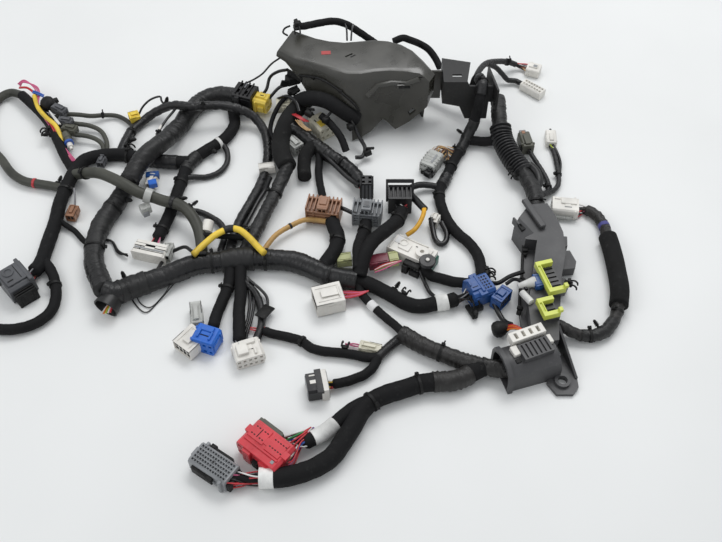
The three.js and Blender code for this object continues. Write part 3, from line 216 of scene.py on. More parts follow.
# looms and cables: routes in millimetres of the layout, as in the part
routes = {
    "trunk": [
        [-334, -48, 22], [-319, -51, 19], [-305, -41, 15], [-280, -29, 14], [-253, -16, 14],
        [-222, 0, 14], [-191, 5, 14], [-159, 10, 14], [-128, 9, 14], [-95, 6, 14],
        [-70, -4, 14], [-41, -19, 14], [-5, -27, 14]],
    "trunkBlue": [
        [-14, -26, 14], [4, -28, 12], [20, -35, 10], [41, -49, 10], [60, -62, 10], [77, -66, 10],
        [95, -62, 10], [114, -59, 12], [129, -55, 14], [146, -48, 14]],
    "leftInner": [
        [-334, -48, 22], [-348, -21, 15], [-360, 9, 13.2], [-363, 37, 13.2], [-361, 68, 13.2],
        [-351, 98, 14], [-338, 127, 18], [-324, 160, 31], [-308, 190, 36], [-291, 225, 26],
        [-276, 270, 14], [-263, 303, 14], [-244, 329, 15], [-219, 337, 17], [-188, 328, 20]],
    "leftOuter": [
        [-447, -24, 14], [-437, -11, 12], [-431, 8, 10], [-429, 45, 10], [-427, 81, 10],
        [-428, 113, 10], [-425, 144, 10], [-420, 174, 10], [-410, 199, 10], [-391, 209, 10],
        [-366, 212, 10], [-343, 209, 10], [-312, 201, 10], [-282, 197, 10], [-253, 196, 10]],
    "upperLeft": [
        [-358, 211, 10], [-356, 238, 9], [-349, 266, 8], [-335, 287, 9], [-313, 301, 17],
        [-285, 297, 31], [-258, 287, 37], [-237, 289, 37], [-213, 293, 34], [-188, 291, 30],
        [-165, 285, 20], [-149, 268, 9], [-141, 236, 8], [-139, 195, 7], [-146, 155, 7],
        [-157, 120, 7], [-168, 89, 7], [-176, 54, 8], [-178, 30, 10], [-177, 8, 14]],
    "centreDrop": [
        [-107, 172, 26], [-113, 152, 22], [-122, 125, 18], [-134, 93, 15], [-145, 60, 14],
        [-154, 32, 14], [-158, 9, 14]],
    "foamLoop": [
        [-84, 304, 36], [-96, 290, 32], [-110, 270, 26], [-118, 245, 22], [-119, 215, 22],
        [-114, 190, 26], [-106, 170, 28]],
    "creamLead": [[-92, 292, 30], [-84, 294, 22], [-76, 291, 15], [-66, 281, 12]],
    "fan": [
        [-206, 333, 17], [-199, 308, 12], [-194, 280, 9], [-203, 252, 9], [-219, 233, 9],
        [-236, 217, 9], [-250, 200, 9], [-257, 182, 9], [-261, 157, 9], [-265, 128, 9],
        [-270, 93, 9], [-276, 67, 9], [-282, 43, 9], [-287, 24, 9]],
    "fanLoop": [
        [-212, 241, 9], [-201, 224, 6], [-199, 200, 5], [-208, 181, 5], [-226, 171, 5],
        [-244, 169, 7], [-259, 165, 9]],
    "fanBranch": [
        [-267, 115, 9], [-249, 104, 8], [-228, 99, 8], [-209, 89, 7], [-195, 76, 7],
        [-189, 55, 7], [-191, 32, 9], [-193, 6, 12]],
    "olive": [
        [-421, 170, 10], [-400, 164, 20], [-375, 149, 36], [-352, 134, 42], [-331, 121, 42],
        [-312, 112, 36], [-292, 108, 30], [-275, 103, 27], [-257, 97, 28], [-240, 84, 28],
        [-226, 64, 22], [-218, 38, 16], [-214, 4, 14]],
    "leftLoop": [
        [-533, 340, 14], [-555, 350, 10], [-572, 336, 8], [-579, 303, 8], [-572, 263, 8],
        [-554, 228, 8], [-533, 203, 8], [-512, 176, 8], [-490, 160, 8], [-466, 154, 8],
        [-443, 148, 9], [-425, 141, 10]],
    "lowerLeft": [
        [-430, 12, 10], [-416, -5, 8], [-406, -26, 8], [-400, -50, 8], [-402, -73, 8],
        [-416, -90, 8], [-436, -99, 8], [-458, -101, 8], [-479, -95, 8], [-496, -84, 9]],
    "leftSleeve": [
        [-533, 340, 14], [-516, 322, 15], [-495, 299, 15], [-475, 274, 14], [-457, 241, 12],
        [-440, 209, 11], [-420, 177, 10]],
    "tubeUpper": [
        [-480, 281, 14], [-460, 293, 15], [-438, 295, 14], [-417, 294, 12], [-398, 299, 9],
        [-380, 301, 6], [-363, 291, 6], [-346, 271, 8]],
    "tubeLower": [
        [-468, 262, 13], [-451, 274, 15], [-432, 275, 13], [-414, 274, 10], [-398, 267, 6],
        [-387, 249, 5], [-382, 230, 5], [-380, 210, 10]],
    "yellowSleeve": [
        [-222, 2, 33], [-210, 20, 32], [-196, 37, 32], [-180, 47, 32], [-165, 45, 33],
        [-151, 32, 33], [-139, 17, 33], [-128, 4, 33]],
    "tan": [
        [-137, 10, 14], [-128, 34, 13], [-116, 54, 13], [-98, 69, 13], [-80, 80, 13],
        [-62, 80, 13], [-40, 76, 13]],
    "hoodLoom": [
        [-112, 262, 24], [-92, 250, 18], [-73, 233, 14], [-53, 214, 12], [-34, 197, 12],
        [-17, 180, 12], [-5, 160, 13], [5, 138, 14]],
    "foamSock": [[-70, 230, 14], [-82, 210, 12], [-84, 188, 11], [-82, 165, 11]],
    "brownFeed": [
        [-62, 223, 13], [-62, 200, 9], [-62, 176, 8], [-59, 150, 10], [-55, 125, 14], [-53, 106, 15]],
    "brownLoom": [
        [-44, 92, 14], [-38, 70, 13], [-32, 50, 13], [-35, 28, 13], [-44, 8, 14], [-55, -11, 14]],
    "greyLoom": [
        [8, 90, 14], [6, 66, 12], [1, 46, 14], [-3, 24, 20], [-3, 4, 26], [-3, -16, 24]],
    "blackLoom": [
        [57, 108, 16], [56, 88, 18], [48, 64, 27], [32, 40, 36], [16, 22, 36], [5, 2, 32],
        [-2, -24, 20]],
    "hoodTop": [
        [-99, 384, 112], [-88, 389, 108], [-79, 397, 104], [-63, 405, 102], [-42, 412, 100],
        [-23, 415, 92], [0, 411, 78], [30, 402, 60], [64, 386, 44], [100, 360, 34], [140, 330, 32],
        [170, 318, 44]],
    "upperRight": [
        [171, 319, 48], [181, 350, 50], [197, 382, 42], [218, 402, 30], [239, 415, 18],
        [256, 418, 9], [274, 412, 7]],
    "upperRightLower": [
        [197, 382, 42], [214, 388, 30], [226, 386, 18], [236, 382, 9], [248, 382, 7], [262, 372, 7]],
    "rightCentre": [
        [171, 318, 44], [174, 306, 76], [178, 290, 84], [178, 276, 82], [174, 262, 64],
        [170, 256, 40], [163, 249, 20], [151, 228, 9], [136, 197, 8], [124, 166, 8],
        [114, 144, 8], [113, 119, 8], [121, 85, 8], [133, 61, 8], [148, 43, 8], [158, 23, 8],
        [161, 1, 9], [160, -20, 12], [160, -34, 14]],
    "rightCross": [[208, 233, 21], [190, 238, 12], [174, 241, 10], [158, 241, 12]],
    "rightToBlack": [
        [116, 147, 8], [100, 150, 9], [84, 148, 12], [70, 138, 15], [64, 124, 16]],
    "clearLead": [[146, 222, 9], [132, 222, 8], [120, 217, 9], [108, 206, 10]],
    "rightTrunk": [
        [209, 306, 36], [209, 288, 36], [208, 268, 34], [209, 248, 28], [212, 228, 21],
        [223, 196, 17], [235, 170, 17], [243, 147, 17], [247, 125, 17], [246, 104, 17],
        [246, 84, 17]],
    "leadSingle": [
        [250, 226, 9], [258, 203, 8], [267, 180, 6], [272, 158, 6], [268, 138, 8], [250, 122, 16]],
    "leadPair": [
        [287, 240, 6], [290, 208, 5], [290, 178, 5], [286, 154, 5], [272, 138, 7], [252, 124, 16]],
    "returnUpper": [
        [300, 104, 9], [318, 104, 8], [332, 92, 8], [338, 74, 9], [339, 54, 12], [339, 36, 13]],
    "returnFoam": [
        [339, 50, 13], [341, 15, 13], [341, -18, 13], [339, -45, 13], [334, -66, 13]],
    "returnLower": [
        [335, -60, 13], [329, -80, 10], [317, -98, 9], [301, -109, 9], [284, -111, 9],
        [268, -108, 12], [254, -102, 16], [240, -97, 17]],
    "moduleCable": [[76, 8, 14], [92, -14, 10], [108, -20, 9], [124, -27, 11], [150, -32, 14]],
    "tagCable": [
        [-8, -29, 14], [2, -46, 8], [14, -62, 7], [30, -80, 7], [46, -97, 8], [60, -117, 12]],
    "lowerCentre": [
        [-129, -95, 7], [-118, -105, 7], [-104, -109, 7], [-89, -113, 7], [-75, -118, 7],
        [-63, -128, 7], [-48, -133, 7], [-29, -135, 7], [-11, -138, 7], [5, -142, 7], [21, -143, 8]],
    "lowerCentreUp": [[21, -143, 8], [31, -132, 8], [42, -121, 8], [54, -114, 10], [68, -121, 12]],
    "lowerCentreDown": [
        [21, -143, 8], [15, -157, 8], [5, -167, 7], [-7, -173, 7], [-22, -179, 8], [-48, -185, 10]],
    "ductLoom": [
        [50, -110, 12], [65, -120, 12], [83, -131, 12], [100, -139, 12], [119, -148, 12],
        [138, -156, 13], [156, -161, 14], [176, -164, 15], [196, -162, 17]],
    "loomLower": [
        [152, -160, 14], [136, -168, 13], [123, -176, 13], [108, -180, 13], [91, -181, 13],
        [72, -184, 13], [50, -192, 13], [30, -199, 13], [12, -209, 13], [-1, -224, 13],
        [-9, -241, 13], [-21, -262, 13], [-33, -280, 13], [-50, -293, 13], [-68, -301, 13],
        [-88, -306, 13], [-110, -307, 12.5], [-150, -308, 12.5]],
    "loomRed": [
        [12, -209, 13], [-2, -214, 13], [-15, -223, 12], [-27, -234, 11], [-40, -246, 11],
        [-54, -256, 12], [-70, -265, 13], [-90, -274, 14]],
    "dropLeft": [
        [-176, 6, 14], [-175, -18, 9], [-177, -38, 8], [-182, -59, 8], [-187, -82, 9],
        [-190, -116, 12]],
    "dropCentre": [
        [-162, 10, 14], [-160, -23, 10], [-158, -47, 9], [-158, -71, 9], [-156, -94, 9],
        [-152, -134, 10]],
    "dropRight": [
        [-160, -22, 10], [-150, -30, 8], [-139, -43, 7], [-131, -63, 7], [-128, -85, 7],
        [-130, -106, 7], [-140, -136, 9]],
}

routes["hoodToTrunk"] = routes["foamLoop"][:-1] + routes["centreDrop"]
routes["returnCable"] = routes["returnUpper"][:4] + routes["returnFoam"][:4] + routes["returnLower"]


# a smooth curve through points, at an even step, and the way run to each
def curveThrough(points, step):
    p = np.array([tuple(q) for q in points], float)
    p = np.vstack([2 * p[0] - p[1], p, 2 * p[-1] - p[-2]])
    fine = []
    for i in range(1, len(p) - 2):
        t = np.linspace(0, 1, 24, endpoint=False)[:, None]
        a, b, c, d = p[i - 1], p[i], p[i + 1], p[i + 2]
        fine.append(0.5 * (2 * b + (c - a) * t + (2 * a - 5 * b + 4 * c - d) * t ** 2
                           + (3 * b - a - 3 * c + d) * t ** 3))
    fine = np.vstack(fine + [p[-2][None]])
    run = np.concatenate([[0], np.cumsum(np.linalg.norm(np.diff(fine, axis=0), axis=1))])
    at = np.linspace(0, run[-1], max(8, int(run[-1] / step)) + 1)
    return np.column_stack([np.interp(at, run, fine[:, k]) for k in range(3)]), at


# the part's own curve through a route, in metres
def smoothLine(points, step):
    return curveThrough([spot(*q) for q in points], step)


# two directions across the line at each point, turned as little as may be
def carriedFrames(line):
    along = np.gradient(line, axis=0)
    along /= np.linalg.norm(along, axis=1)[:, None]
    side = np.cross(along[0], (0, 0, 1))
    if np.linalg.norm(side) < 0.2:
        side = np.cross(along[0], (0, 1, 0))
    side /= np.linalg.norm(side)
    sides = [side]
    for i in range(1, len(line)):
        side = side - along[i] * np.dot(side, along[i])
        side /= np.linalg.norm(side)
        sides.append(side)
    sides = np.array(sides)
    return along, sides, np.cross(sides, along)


# a smooth random field along and around a tube, about -1 to 1
def ripple(seed, along, around, waves, low, high):
    random = np.random.default_rng(seed)
    field = np.zeros(np.broadcast(along, around).shape)
    for _ in range(waves):
        field += np.sin(random.uniform(low, high) * along + random.integers(0, 4) * around
                        + random.uniform(0, 6.28))
    return field / math.sqrt(waves)


def link(name, mesh, material=None):
    piece = bpy.data.objects.new(name, mesh)
    scene.collection.objects.link(piece)
    if material:
        mesh.materials.append(material)
    return piece


def smooth(mesh):
    mesh.shade_smooth()


wrapStyles = {
    "tape": dict(material="tape", sides=32, ring=0.0015, pitch=0.014, lip=0.0006, lumps=0.05, ridges=0.03,
        crease=0.0007),
    "dull": dict(material="dullTape", sides=32, ring=0.0015, pitch=0.017, lip=0.0008, lumps=0.06,
        ridges=0.03, crease=0.0011),
    "worn": dict(material="brownTape", sides=32, ring=0.0015, pitch=0.012, lip=0.0007, lumps=0.06,
        ridges=0.03, crease=0.0011),
    "cloth": dict(material="cloth", sides=26, ring=0.0022, pitch=0.016, lip=0.0003, lumps=0.03,
        ridges=0.01, crease=0.0002),
    "foam": dict(material="foam", sides=30, ring=0.003, pitch=0, lip=0, lumps=0.03, ridges=0, crease=0),
    "tube": dict(material="oliveTube", sides=22, ring=0.004, pitch=0, lip=0, lumps=0.01, ridges=0, crease=0),
    "yellow": dict(material="yellowTube", sides=20, ring=0.003, pitch=0, lip=0, lumps=0.02, ridges=0,
        crease=0),
    "tan": dict(material="tanTube", sides=20, ring=0.0016, pitch=0.006, lip=0.0004, lumps=0.02,
        ridges=0.05, crease=0),
    "thin": dict(material="tape", sides=18, ring=0.0017, pitch=0.009, lip=0.0003, lumps=0.03, ridges=0.04,
        crease=0.0003),
}
for styleName, material, crease in (("white", "band", 0.0005), ("violet", "violet", 0.0003),
                                    ("redBand", "wire_red", 0.0001), ("label", "label", 0.0001)):
    wrapStyles[styleName] = dict(wrapStyles["cloth"], material=material, ring=0.0012, pitch=0, lip=0,
                                 crease=crease)



# quads between rings of points, then a fan at each end round two added points
def tubeFaces(rings, sides):
    i, j = np.meshgrid(np.arange(rings - 1), np.arange(sides), indexing="ij")
    k = (j + 1) % sides
    walls = np.stack([i * sides + k, (i + 1) * sides + k, (i + 1) * sides + j, i * sides + j], -1)
    first = rings * sides
    last = first - sides
    ends = [[first, (n + 1) % sides, n] for n in range(sides)]
    ends += [[first + 1, last + n, last + (n + 1) % sides] for n in range(sides)]
    return walls.reshape(-1, 4).tolist() + ends


# points of a closed tube about a line; radius is one number, one per ring or one per point
def tubePoints(line, radius, sides, floor=0.0002):
    along, side, over = carriedFrames(line)
    turn = np.linspace(0, 2 * math.pi, sides, endpoint=False)
    radius = np.asarray(radius, float)
    if radius.ndim < 2:
        radius = np.broadcast_to(radius.reshape(-1, 1), (len(line), sides))
    points = (line[:, None] + side[:, None] * (np.cos(turn)[None, :, None] * radius[..., None])
              + over[:, None] * (np.sin(turn)[None, :, None] * radius[..., None]))
    points = np.vstack([points.reshape(-1, 3), line[0] - along[0] * 0.0003, line[-1] + along[-1] * 0.0003])
    points[:, 2] = np.maximum(points[:, 2], floor)
    return points


# a tube along a route or a part of it, with tape laps and the lumps of the wires inside.
# Its bare ends are thin cores
def wrappedLoom(name, route, diameter, styleName, seed, bare=(0, 0), part=None):
    style = wrapStyles[styleName]
    line, run = smoothLine(routes[route], style["ring"])
    if part:
        kept = (run >= part[0]) & (run <= part[1])
        line, run = line[kept], run[kept]
    sides = style["sides"]
    s = run[:, None]
    a = np.linspace(0, 2 * math.pi, sides, endpoint=False)[None, :]
    radius = np.full((len(line), sides), diameter / 2)
    radius *= 1 + style["lumps"] * 0.5 * ripple(seed, s, a, 6, 40, 160)
    if style["ridges"]:
        swell = 0.5 + 0.5 * ripple(seed + 7, s, 0 * a, 3, 20, 60)
        radius *= 1 + style["ridges"] * np.cos(5 * a + 30 * s) * swell
    if style["crease"]:
        folds = 1 - np.abs(ripple(seed + 9, s, a, 5, 250, 800))
        patches = np.clip(0.6 + 0.6 * ripple(seed + 5, s, a, 4, 20, 90), 0, 1)
        radius += style["crease"] * np.clip(folds, -0.5, 1) * patches
    if style["pitch"]:
        lap = (s / style["pitch"] + a / (2 * math.pi) + 0.25 * ripple(seed + 3, s, a, 3, 30, 90)) % 1
        radius += style["lip"] * (np.clip(lap * 1.25, 0, 1) - 0.5)
    for end, long in enumerate(bare):
        if long:
            away = run if end == 0 else run[-1] - run
            taper = np.clip((away - long) / 0.003 + 0.5, 0, 1)
            radius *= (0.42 + 0.58 * taper)[:, None]
    points = tubePoints(line, radius, sides)
    faceList = tubeFaces(len(line), sides)
    first = len(line) * sides
    mesh = bpy.data.meshes.new(name)
    mesh.from_pydata(points.tolist(), [], faceList)
    uv = mesh.uv_layers.new(name="wrap")
    uvs = []
    steps = run.tolist()
    for face in faceList:
        for corner in face:
            if corner >= first:
                uvs += [0.5, steps[0] if corner == first else steps[-1]]
            else:
                around = (corner % sides) / sides
                if around == 0 and any(q < first and q % sides == sides - 1 for q in face):
                    around = 1.0
                uvs += [around, steps[corner // sides]]
    uv.data.foreach_set("uv", uvs)
    smooth(mesh)
    checkOutside(mesh)
    piece = link(name, mesh, materials[style["material"]])
    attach(piece, main)
    return piece, line, run


# turns the faces out, if the mesh came out inside out
def checkOutside(mesh):
    work = bmesh.new()
    work.from_mesh(mesh)
    if work.calc_volume(signed=True) < 0:
        bmesh.ops.reverse_faces(work, faces=work.faces)
    work.to_mesh(mesh)
    work.free()


seeds = {route: 11 + 5 * n for n, route in enumerate(routes)}
layoutLines = {route: curveThrough(points, 1.5) for route, points in routes.items()}


# how far along a route, in millimetres, it passes a place of the layout
def runNear(route, x, y):
    line, run = layoutLines[route]
    return float(run[np.argmin((line[:, 0] - x) ** 2 + (line[:, 1] - y) ** 2)])


# small shapes, in millimetres: each is points and faces, put into one piece with its finish
def newShape():
    return dict(verts=[], faces=[], finish=[], count=0)


def add(shape, finish, verts, faces, at=(0, 0, 0), turn=0, tilt=0, roll=0):
    verts = np.asarray(verts, float)
    fans = [(face[0], face[i], face[i + 1]) for face in faces for i in range(1, len(face) - 1)]
    corners = verts[np.array(fans)]
    if np.einsum("ij,ij->i", corners[:, 0], np.cross(corners[:, 1], corners[:, 2])).sum() < 0:
        faces = [face[::-1] for face in faces]
    spin = (Matrix.Rotation(math.radians(turn), 3, "Z") @ Matrix.Rotation(math.radians(tilt), 3, "Y")
            @ Matrix.Rotation(math.radians(roll), 3, "X"))
    shape["verts"].append(verts @ np.array(spin).T + np.array(at, float))
    base = shape["count"]
    shape["faces"] += [[base + i for i in face] for face in faces]
    shape["finish"] += [finish] * len(faces)
    shape["count"] += len(verts)


def chamferPattern():
    work = bmesh.new()
    bmesh.ops.create_cube(work, size=2)
    bmesh.ops.bevel(work, geom=work.edges[:], offset=0.5, segments=1, affect="EDGES")
    spots = np.array([tuple(v.co) for v in work.verts])
    faces = [[v.index for v in face.verts] for face in work.faces]
    work.free()
    return spots, faces


chamferSpots, chamferFaces = chamferPattern()


# a box with its edges cut
def put(shape, finish, size, at, turn=0, tilt=0, roll=0, edge=0.5):
    half = np.array(size, float) / 2
    edge = min(edge, 0.4 * half.min())
    verts = np.sign(chamferSpots) * (half - edge * (np.abs(chamferSpots) < 0.9))
    add(shape, finish, verts, chamferFaces, at, turn, tilt, roll)


# a turned form along its own x: the profile lists how far along, and the radius
def lathe(shape, finish, profile, at, turn=0, tilt=0, roll=0, sides=20):
    angle = np.linspace(0, 2 * math.pi, sides, endpoint=False)
    rings = [np.column_stack([np.full(sides, x), r * np.cos(angle), r * np.sin(angle)]) for x, r in profile]
    verts = np.vstack(rings + [[(profile[0][0], 0, 0), (profile[-1][0], 0, 0)]])
    add(shape, finish, verts, tubeFaces(len(profile), sides), at, turn, tilt, roll)


def wire(shape, finish, points, gauge=1.8, sides=7, step=3.0):
    line, run = curveThrough(points, step)
    add(shape, finish, tubePoints(line, gauge / 2, sides, 0.2), tubeFaces(len(line), sides))


def finishShape(name, shape, at=(0, 0, 0), heading=0, body=main, sharp=38):
    verts = np.vstack(shape["verts"])
    spin = np.array(Matrix.Rotation(math.radians(heading), 3, "Z"))
    verts = (verts @ spin.T + np.array(at, float)) / 1000 + np.array(tableShift)
    verts[:, 2] = np.maximum(verts[:, 2], 0.0002)
    mesh = bpy.data.meshes.new(name)
    mesh.from_pydata(verts.tolist(), [], shape["faces"])
    finishes = list(dict.fromkeys(shape["finish"]))
    for finish in finishes:
        mesh.materials.append(materials[finish])
    mesh.polygons.foreach_set("material_index", [finishes.index(finish) for finish in shape["finish"]])
    smooth(mesh)
    mesh.set_sharp_from_angle(angle=math.radians(sharp))
    piece = link(name, mesh)
    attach(piece, body)
    return piece


# name: route, diameter in mm, style, node that it stands for, bare ends in mm
cordList = {
    "mainTrunk": ("trunk", 28, "tape", "trunk_main", (0, 0)),
    "blueTrunk": ("trunkBlue", 19, "cloth", "trunk_blue", (0, 22)),
    "rightTrunk": ("rightTrunk", 22, "dull", "trunk_right", (0, 0)),
    "leftInnerLoom": ("leftInner", 26, "dull", "loom_left_inner", (0, 0)),
    "leftOuterLoom": ("leftOuter", 19, "cloth", "loom_left_outer", (16, 0)),
    "upperLeftLoom": ("upperLeft", 13, "tape", "loom_upper_left", (0, 0)),
    "centreDropLoom": ("hoodToTrunk", 18, "dull", "loom_centre_drop", (0, 0)),
    "fanLoom": ("fan", 17, "cloth", "loom_fan", (0, 26)),
    "fanBranchCable": ("fanBranch", 9, "thin", "loom_fan", (0, 0)),
    "oliveTube": ("olive", 16, "tube", "tube_olive", (0, 0)),
    "leftLoopCable": ("leftLoop", 13, "tube", "cable_left_loop", (0, 0)),
    "lowerLeftCable": ("lowerLeft", 14, "cloth", "cable_lower_left", (0, 10)),
    "leftSleeve": ("leftSleeve", 15, "cloth", "cable_left_spurs", (0, 0)),
    "upperSmallTube": ("tubeUpper", 7, "tube", "cable_left_spurs", (0, 0)),
    "lowerSmallTube": ("tubeLower", 7, "tube", "cable_left_spurs", (0, 0)),
    "yellowSleeve": ("yellowSleeve", 9, "yellow", "sleeve_yellow", (0, 0)),
    "tanCable": ("tan", 7, "tan", "cable_tan", (0, 0)),
    "hoodLoom": ("hoodLoom", 20, "tape", "loom_hood", (0, 12)),
    "brownFeed": ("brownFeed", 11, "cloth", "loom_hood", (0, 0)),
    "greyLoom": ("greyLoom", 17, "cloth", "loom_grey_black", (12, 0)),
    "blackLoom": ("blackLoom", 19, "cloth", "loom_grey_black", (12, 0)),
    "hoodTopCable": ("hoodTop", 11, "cloth", "cable_hood_top", (0, 0)),
    "upperRightCable": ("upperRight", 9, "thin", "cable_upper_right", (0, 22)),
    "upperRightLowerCable": ("upperRightLower", 8, "thin", "cable_upper_right", (0, 7)),
    "rightCentreLoom": ("rightCentre", 15, "cloth", "loom_right_centre", (0, 14)),
    "singleLead": ("leadSingle", 7, "thin", "cable_duct_leads", (10, 0)),
    "pairLead": ("leadPair", 7, "thin", "cable_duct_leads", (12, 0)),
    "returnCable": ("returnCable", 14, "worn", "cable_return", (18, 0)),
    "moduleCable": ("moduleCable", 14, "cloth", "cable_module", (0, 0)),
    "tagCable": ("tagCable", 11, "cloth", "loom_duct", (0, 0)),
    "ductLoom": ("ductLoom", 21, "worn", "loom_duct", (0, 0)),
    "lowerCentreCable": ("lowerCentre", 12, "cloth", "cable_lower_centre", (8, 0)),
    "lowerCentreDownCable": ("lowerCentreDown", 12, "cloth", "cable_lower_centre", (0, 14)),
    "lowerLoom": ("loomLower", 23, "cloth", "loom_lower", (0, 38)),
    "redLoom": ("loomRed", 18, "cloth", "loom_lower", (0, 26)),
    "dropLeftLoom": ("dropLeft", 15, "cloth", "loom_drops", (0, 16)),
}
# shorter runs, each made as a piece that goes with a cord of the list above
sideRuns = {
    "foamLoopSleeve": ("foamLoop", 27, "foam", "foam_loop", "centreDropLoom", (0, 0)),
    "creamLead": ("creamLead", 9, "cloth", "foam_loop", "hoodTopCable", (0, 5)),
    "brownLoom": ("brownLoom", 20, "cloth", "loom_brown", "mainTrunk", (12, 0)),
    "fanLoopCable": ("fanLoop", 8, "thin", "loom_fan", "fanLoom", (0, 0)),
    "foamSock": ("foamSock", 20, "foam", "loom_hood", "hoodLoom", (0, 0)),
    "rightCrossCable": ("rightCross", 14, "cloth", "cable_right_cross", "rightCentreLoom", (0, 0)),
    "blackSideLead": ("rightToBlack", 9, "thin", "loom_right_centre", "rightCentreLoom", (0, 0)),
    "clearLead": ("clearLead", 8, "thin", "loom_right_centre", "rightCentreLoom", (0, 18)),
    "returnFoamSleeve": ("returnFoam", 25, "foam", "cable_return", "returnCable", (0, 0)),
    "lowerCentreUpCable": ("lowerCentreUp", 12, "thin", "cable_lower_centre", "lowerCentreCable", (0, 0)),
    "dropCentreLoom": ("dropCentre", 16, "cloth", "loom_drops", "dropLeftLoom", (0, 14)),
    "dropRightCable": ("dropRight", 10, "thin", "loom_drops", "dropLeftLoom", (0, 10)),
}
# bands and second layers on a loom: route, place they are at, length and diameter in mm, style, cord
overlays = {
    "blueTrunkBand": ("trunkBlue", (106, -61), 17, 21.5, "white", "blueTrunk"),
    "lowerLoomBand": ("loomLower", (-106, -307), 18, 24.5, "white", "lowerLoom"),
    "redLoomSleeve": ("loomRed", (-42, -248), 34, 19.5, "white", "redLoom"),
    "returnVioletBand": ("returnCable", (338, 72), 8, 16, "violet", "returnCable"),
    "leftLoopRedBand": ("leftLoop", (-474, 154), 6, 14.5, "redBand", "leftLoopCable"),
    "tagLabel": ("tagCable", (16, -64), 13, 13, "label", "tagCable"),
    "trunkJoint": ("trunk", (-165, 10), 46, 30.5, "dull", "mainTrunk"),
    "trunkEndWrap": ("trunk", (-300, -37), 40, 30, "dull", "mainTrunk"),
    "rightCentreWrap": ("rightCentre", (160, 244), 62, 16.5, "dull", "rightCentreLoom"),
    "rightCentreTopWrap": ("rightCentre", (178, 284), 34, 16.5, "tape", "rightCentreLoom"),
    "rightCentreLowWrap": ("rightCentre", (122, 160), 24, 16.6, "tape", "rightCentreLoom"),
    "lowerLoomFork": ("loomLower", (112, -181), 50, 24.5, "worn", "lowerLoom"),
    "leftOuterWrap": ("leftOuter", (-300, 199), 60, 20.5, "tape", "leftOuterLoom"),
    "fanCrossWrap": ("fan", (-252, 196), 34, 18.5, "dull", "fanLoom"),
    "oliveBand": ("olive", (-262, 99), 7, 17.5, "tape", "oliveTube"),
    "tanBand": ("tan", (-98, 69), 6, 8.5, "tape", "tanCable"),
    "yellowMiddleWrap": ("yellowSleeve", (-180, 47), 16, 10.5, "thin", "yellowSleeve"),
    "hoodLoomWrap": ("hoodLoom", (-60, 221), 30, 21.5, "dull", "hoodLoom"),
    "returnEndWrap": ("returnCable", (305, -107), 56, 15.4, "dull", "returnCable"),
    "whiteFanBand": ("fan", (-215, 237), 6, 18.6, "white", "fanLoom"),
}
# loose wires between a loom's taped end and a housing: route, end, length, loom radius, face of the
# housing across and up in mm, colours, how many, cord
wireEnds = {
    "blueWires": ("trunkBlue", 1, 24, 8.5, (24, 16), "violet black white brown grey black red black", 14,
        "blueTrunk"),
    "pinGreyWires": ("loomLower", 1, 40, 10, (20, 16), "red black red white red black pink tan", 15,
        "lowerLoom"),
    "redHousingWires": ("loomRed", 1, 30, 8, (46, 20),
                        "red white blue green pink yellow violet grey red blue white brown", 26, "redLoom"),
    "leftGreyWires": ("leftOuter", 0, 18, 8, (32, 18), "red white black pink grey black brown", 14,
        "leftOuterLoom"),
    "fanWires": ("fan", 1, 28, 7, (34, 8), "white grey pink black white red", 10, "fanLoom"),
    "leftEndWires": ("lowerLeft", 1, 12, 6, (16, 10), "black red black grey", 7, "lowerLeftCable"),
    "hoodLoomWires": ("hoodLoom", 1, 14, 8, (14, 20), "black grey black red", 8, "hoodLoom"),
    "greyFinWires": ("greyLoom", 0, 14, 7, (24, 12), "black grey black white", 8, "greyLoom"),
    "blackLeverWires": ("blackLoom", 0, 14, 8, (24, 12), "black white black red", 8, "blackLoom"),
    "brownWires": ("brownLoom", 0, 14, 8, (30, 14), "black white brown black", 9, "mainTrunk"),
    "upperWhiteWires": ("upperRight", 1, 24, 4, (17, 8), "brown white black tan red grey", 7,
        "upperRightCable"),
    "pinnedWires": ("upperRightLower", 1, 9, 3.6, (16, 7), "black white grey", 5, "upperRightLowerCable"),
    "rightCentreWires": ("rightCentre", 1, 15, 6.5, (20, 12), "black white black blue", 7, "rightCentreLoom"),
    "returnWires": ("returnCable", 0, 20, 6.5, (27, 12), "red black white red pink black red", 12,
        "returnCable"),
    "stripedWires": ("lowerCentreDown", 1, 16, 5, (20, 12), "yellow red yellow white black red", 9,
        "lowerCentreDownCable"),
    "centreStartWires": ("lowerCentre", 0, 9, 5, (9, 5), "red red pink black", 5, "lowerCentreCable"),
    "brightBlueWires": ("dropLeft", 1, 18, 6.5, (22, 12), "black pink black white", 8, "dropLeftLoom"),
    "whiteLowerWires": ("dropCentre", 1, 15, 7, (24, 10), "black grey black white", 8, "dropLeftLoom"),
    "dropRightWires": ("dropRight", 1, 12, 4, (12, 8), "pink white black", 4, "dropLeftLoom"),
    "creamWires": ("creamLead", 1, 7, 3.6, (16, 12), "black white brown", 5, "centreDropLoom"),
    "clearWires": ("clearLead", 1, 21, 3.6, (24, 11), "tan white black tan white brown", 10,
        "rightCentreLoom"),
    "singleLeadWires": ("leadSingle", 0, 12, 3, (10, 8), "black olive black", 4, "singleLead"),
    "pairLeadWires": ("leadPair", 0, 14, 3, (9, 5), "black white lime", 3, "pairLead"),
}
materials["wire_olive"] = materials["olive_plastic"]


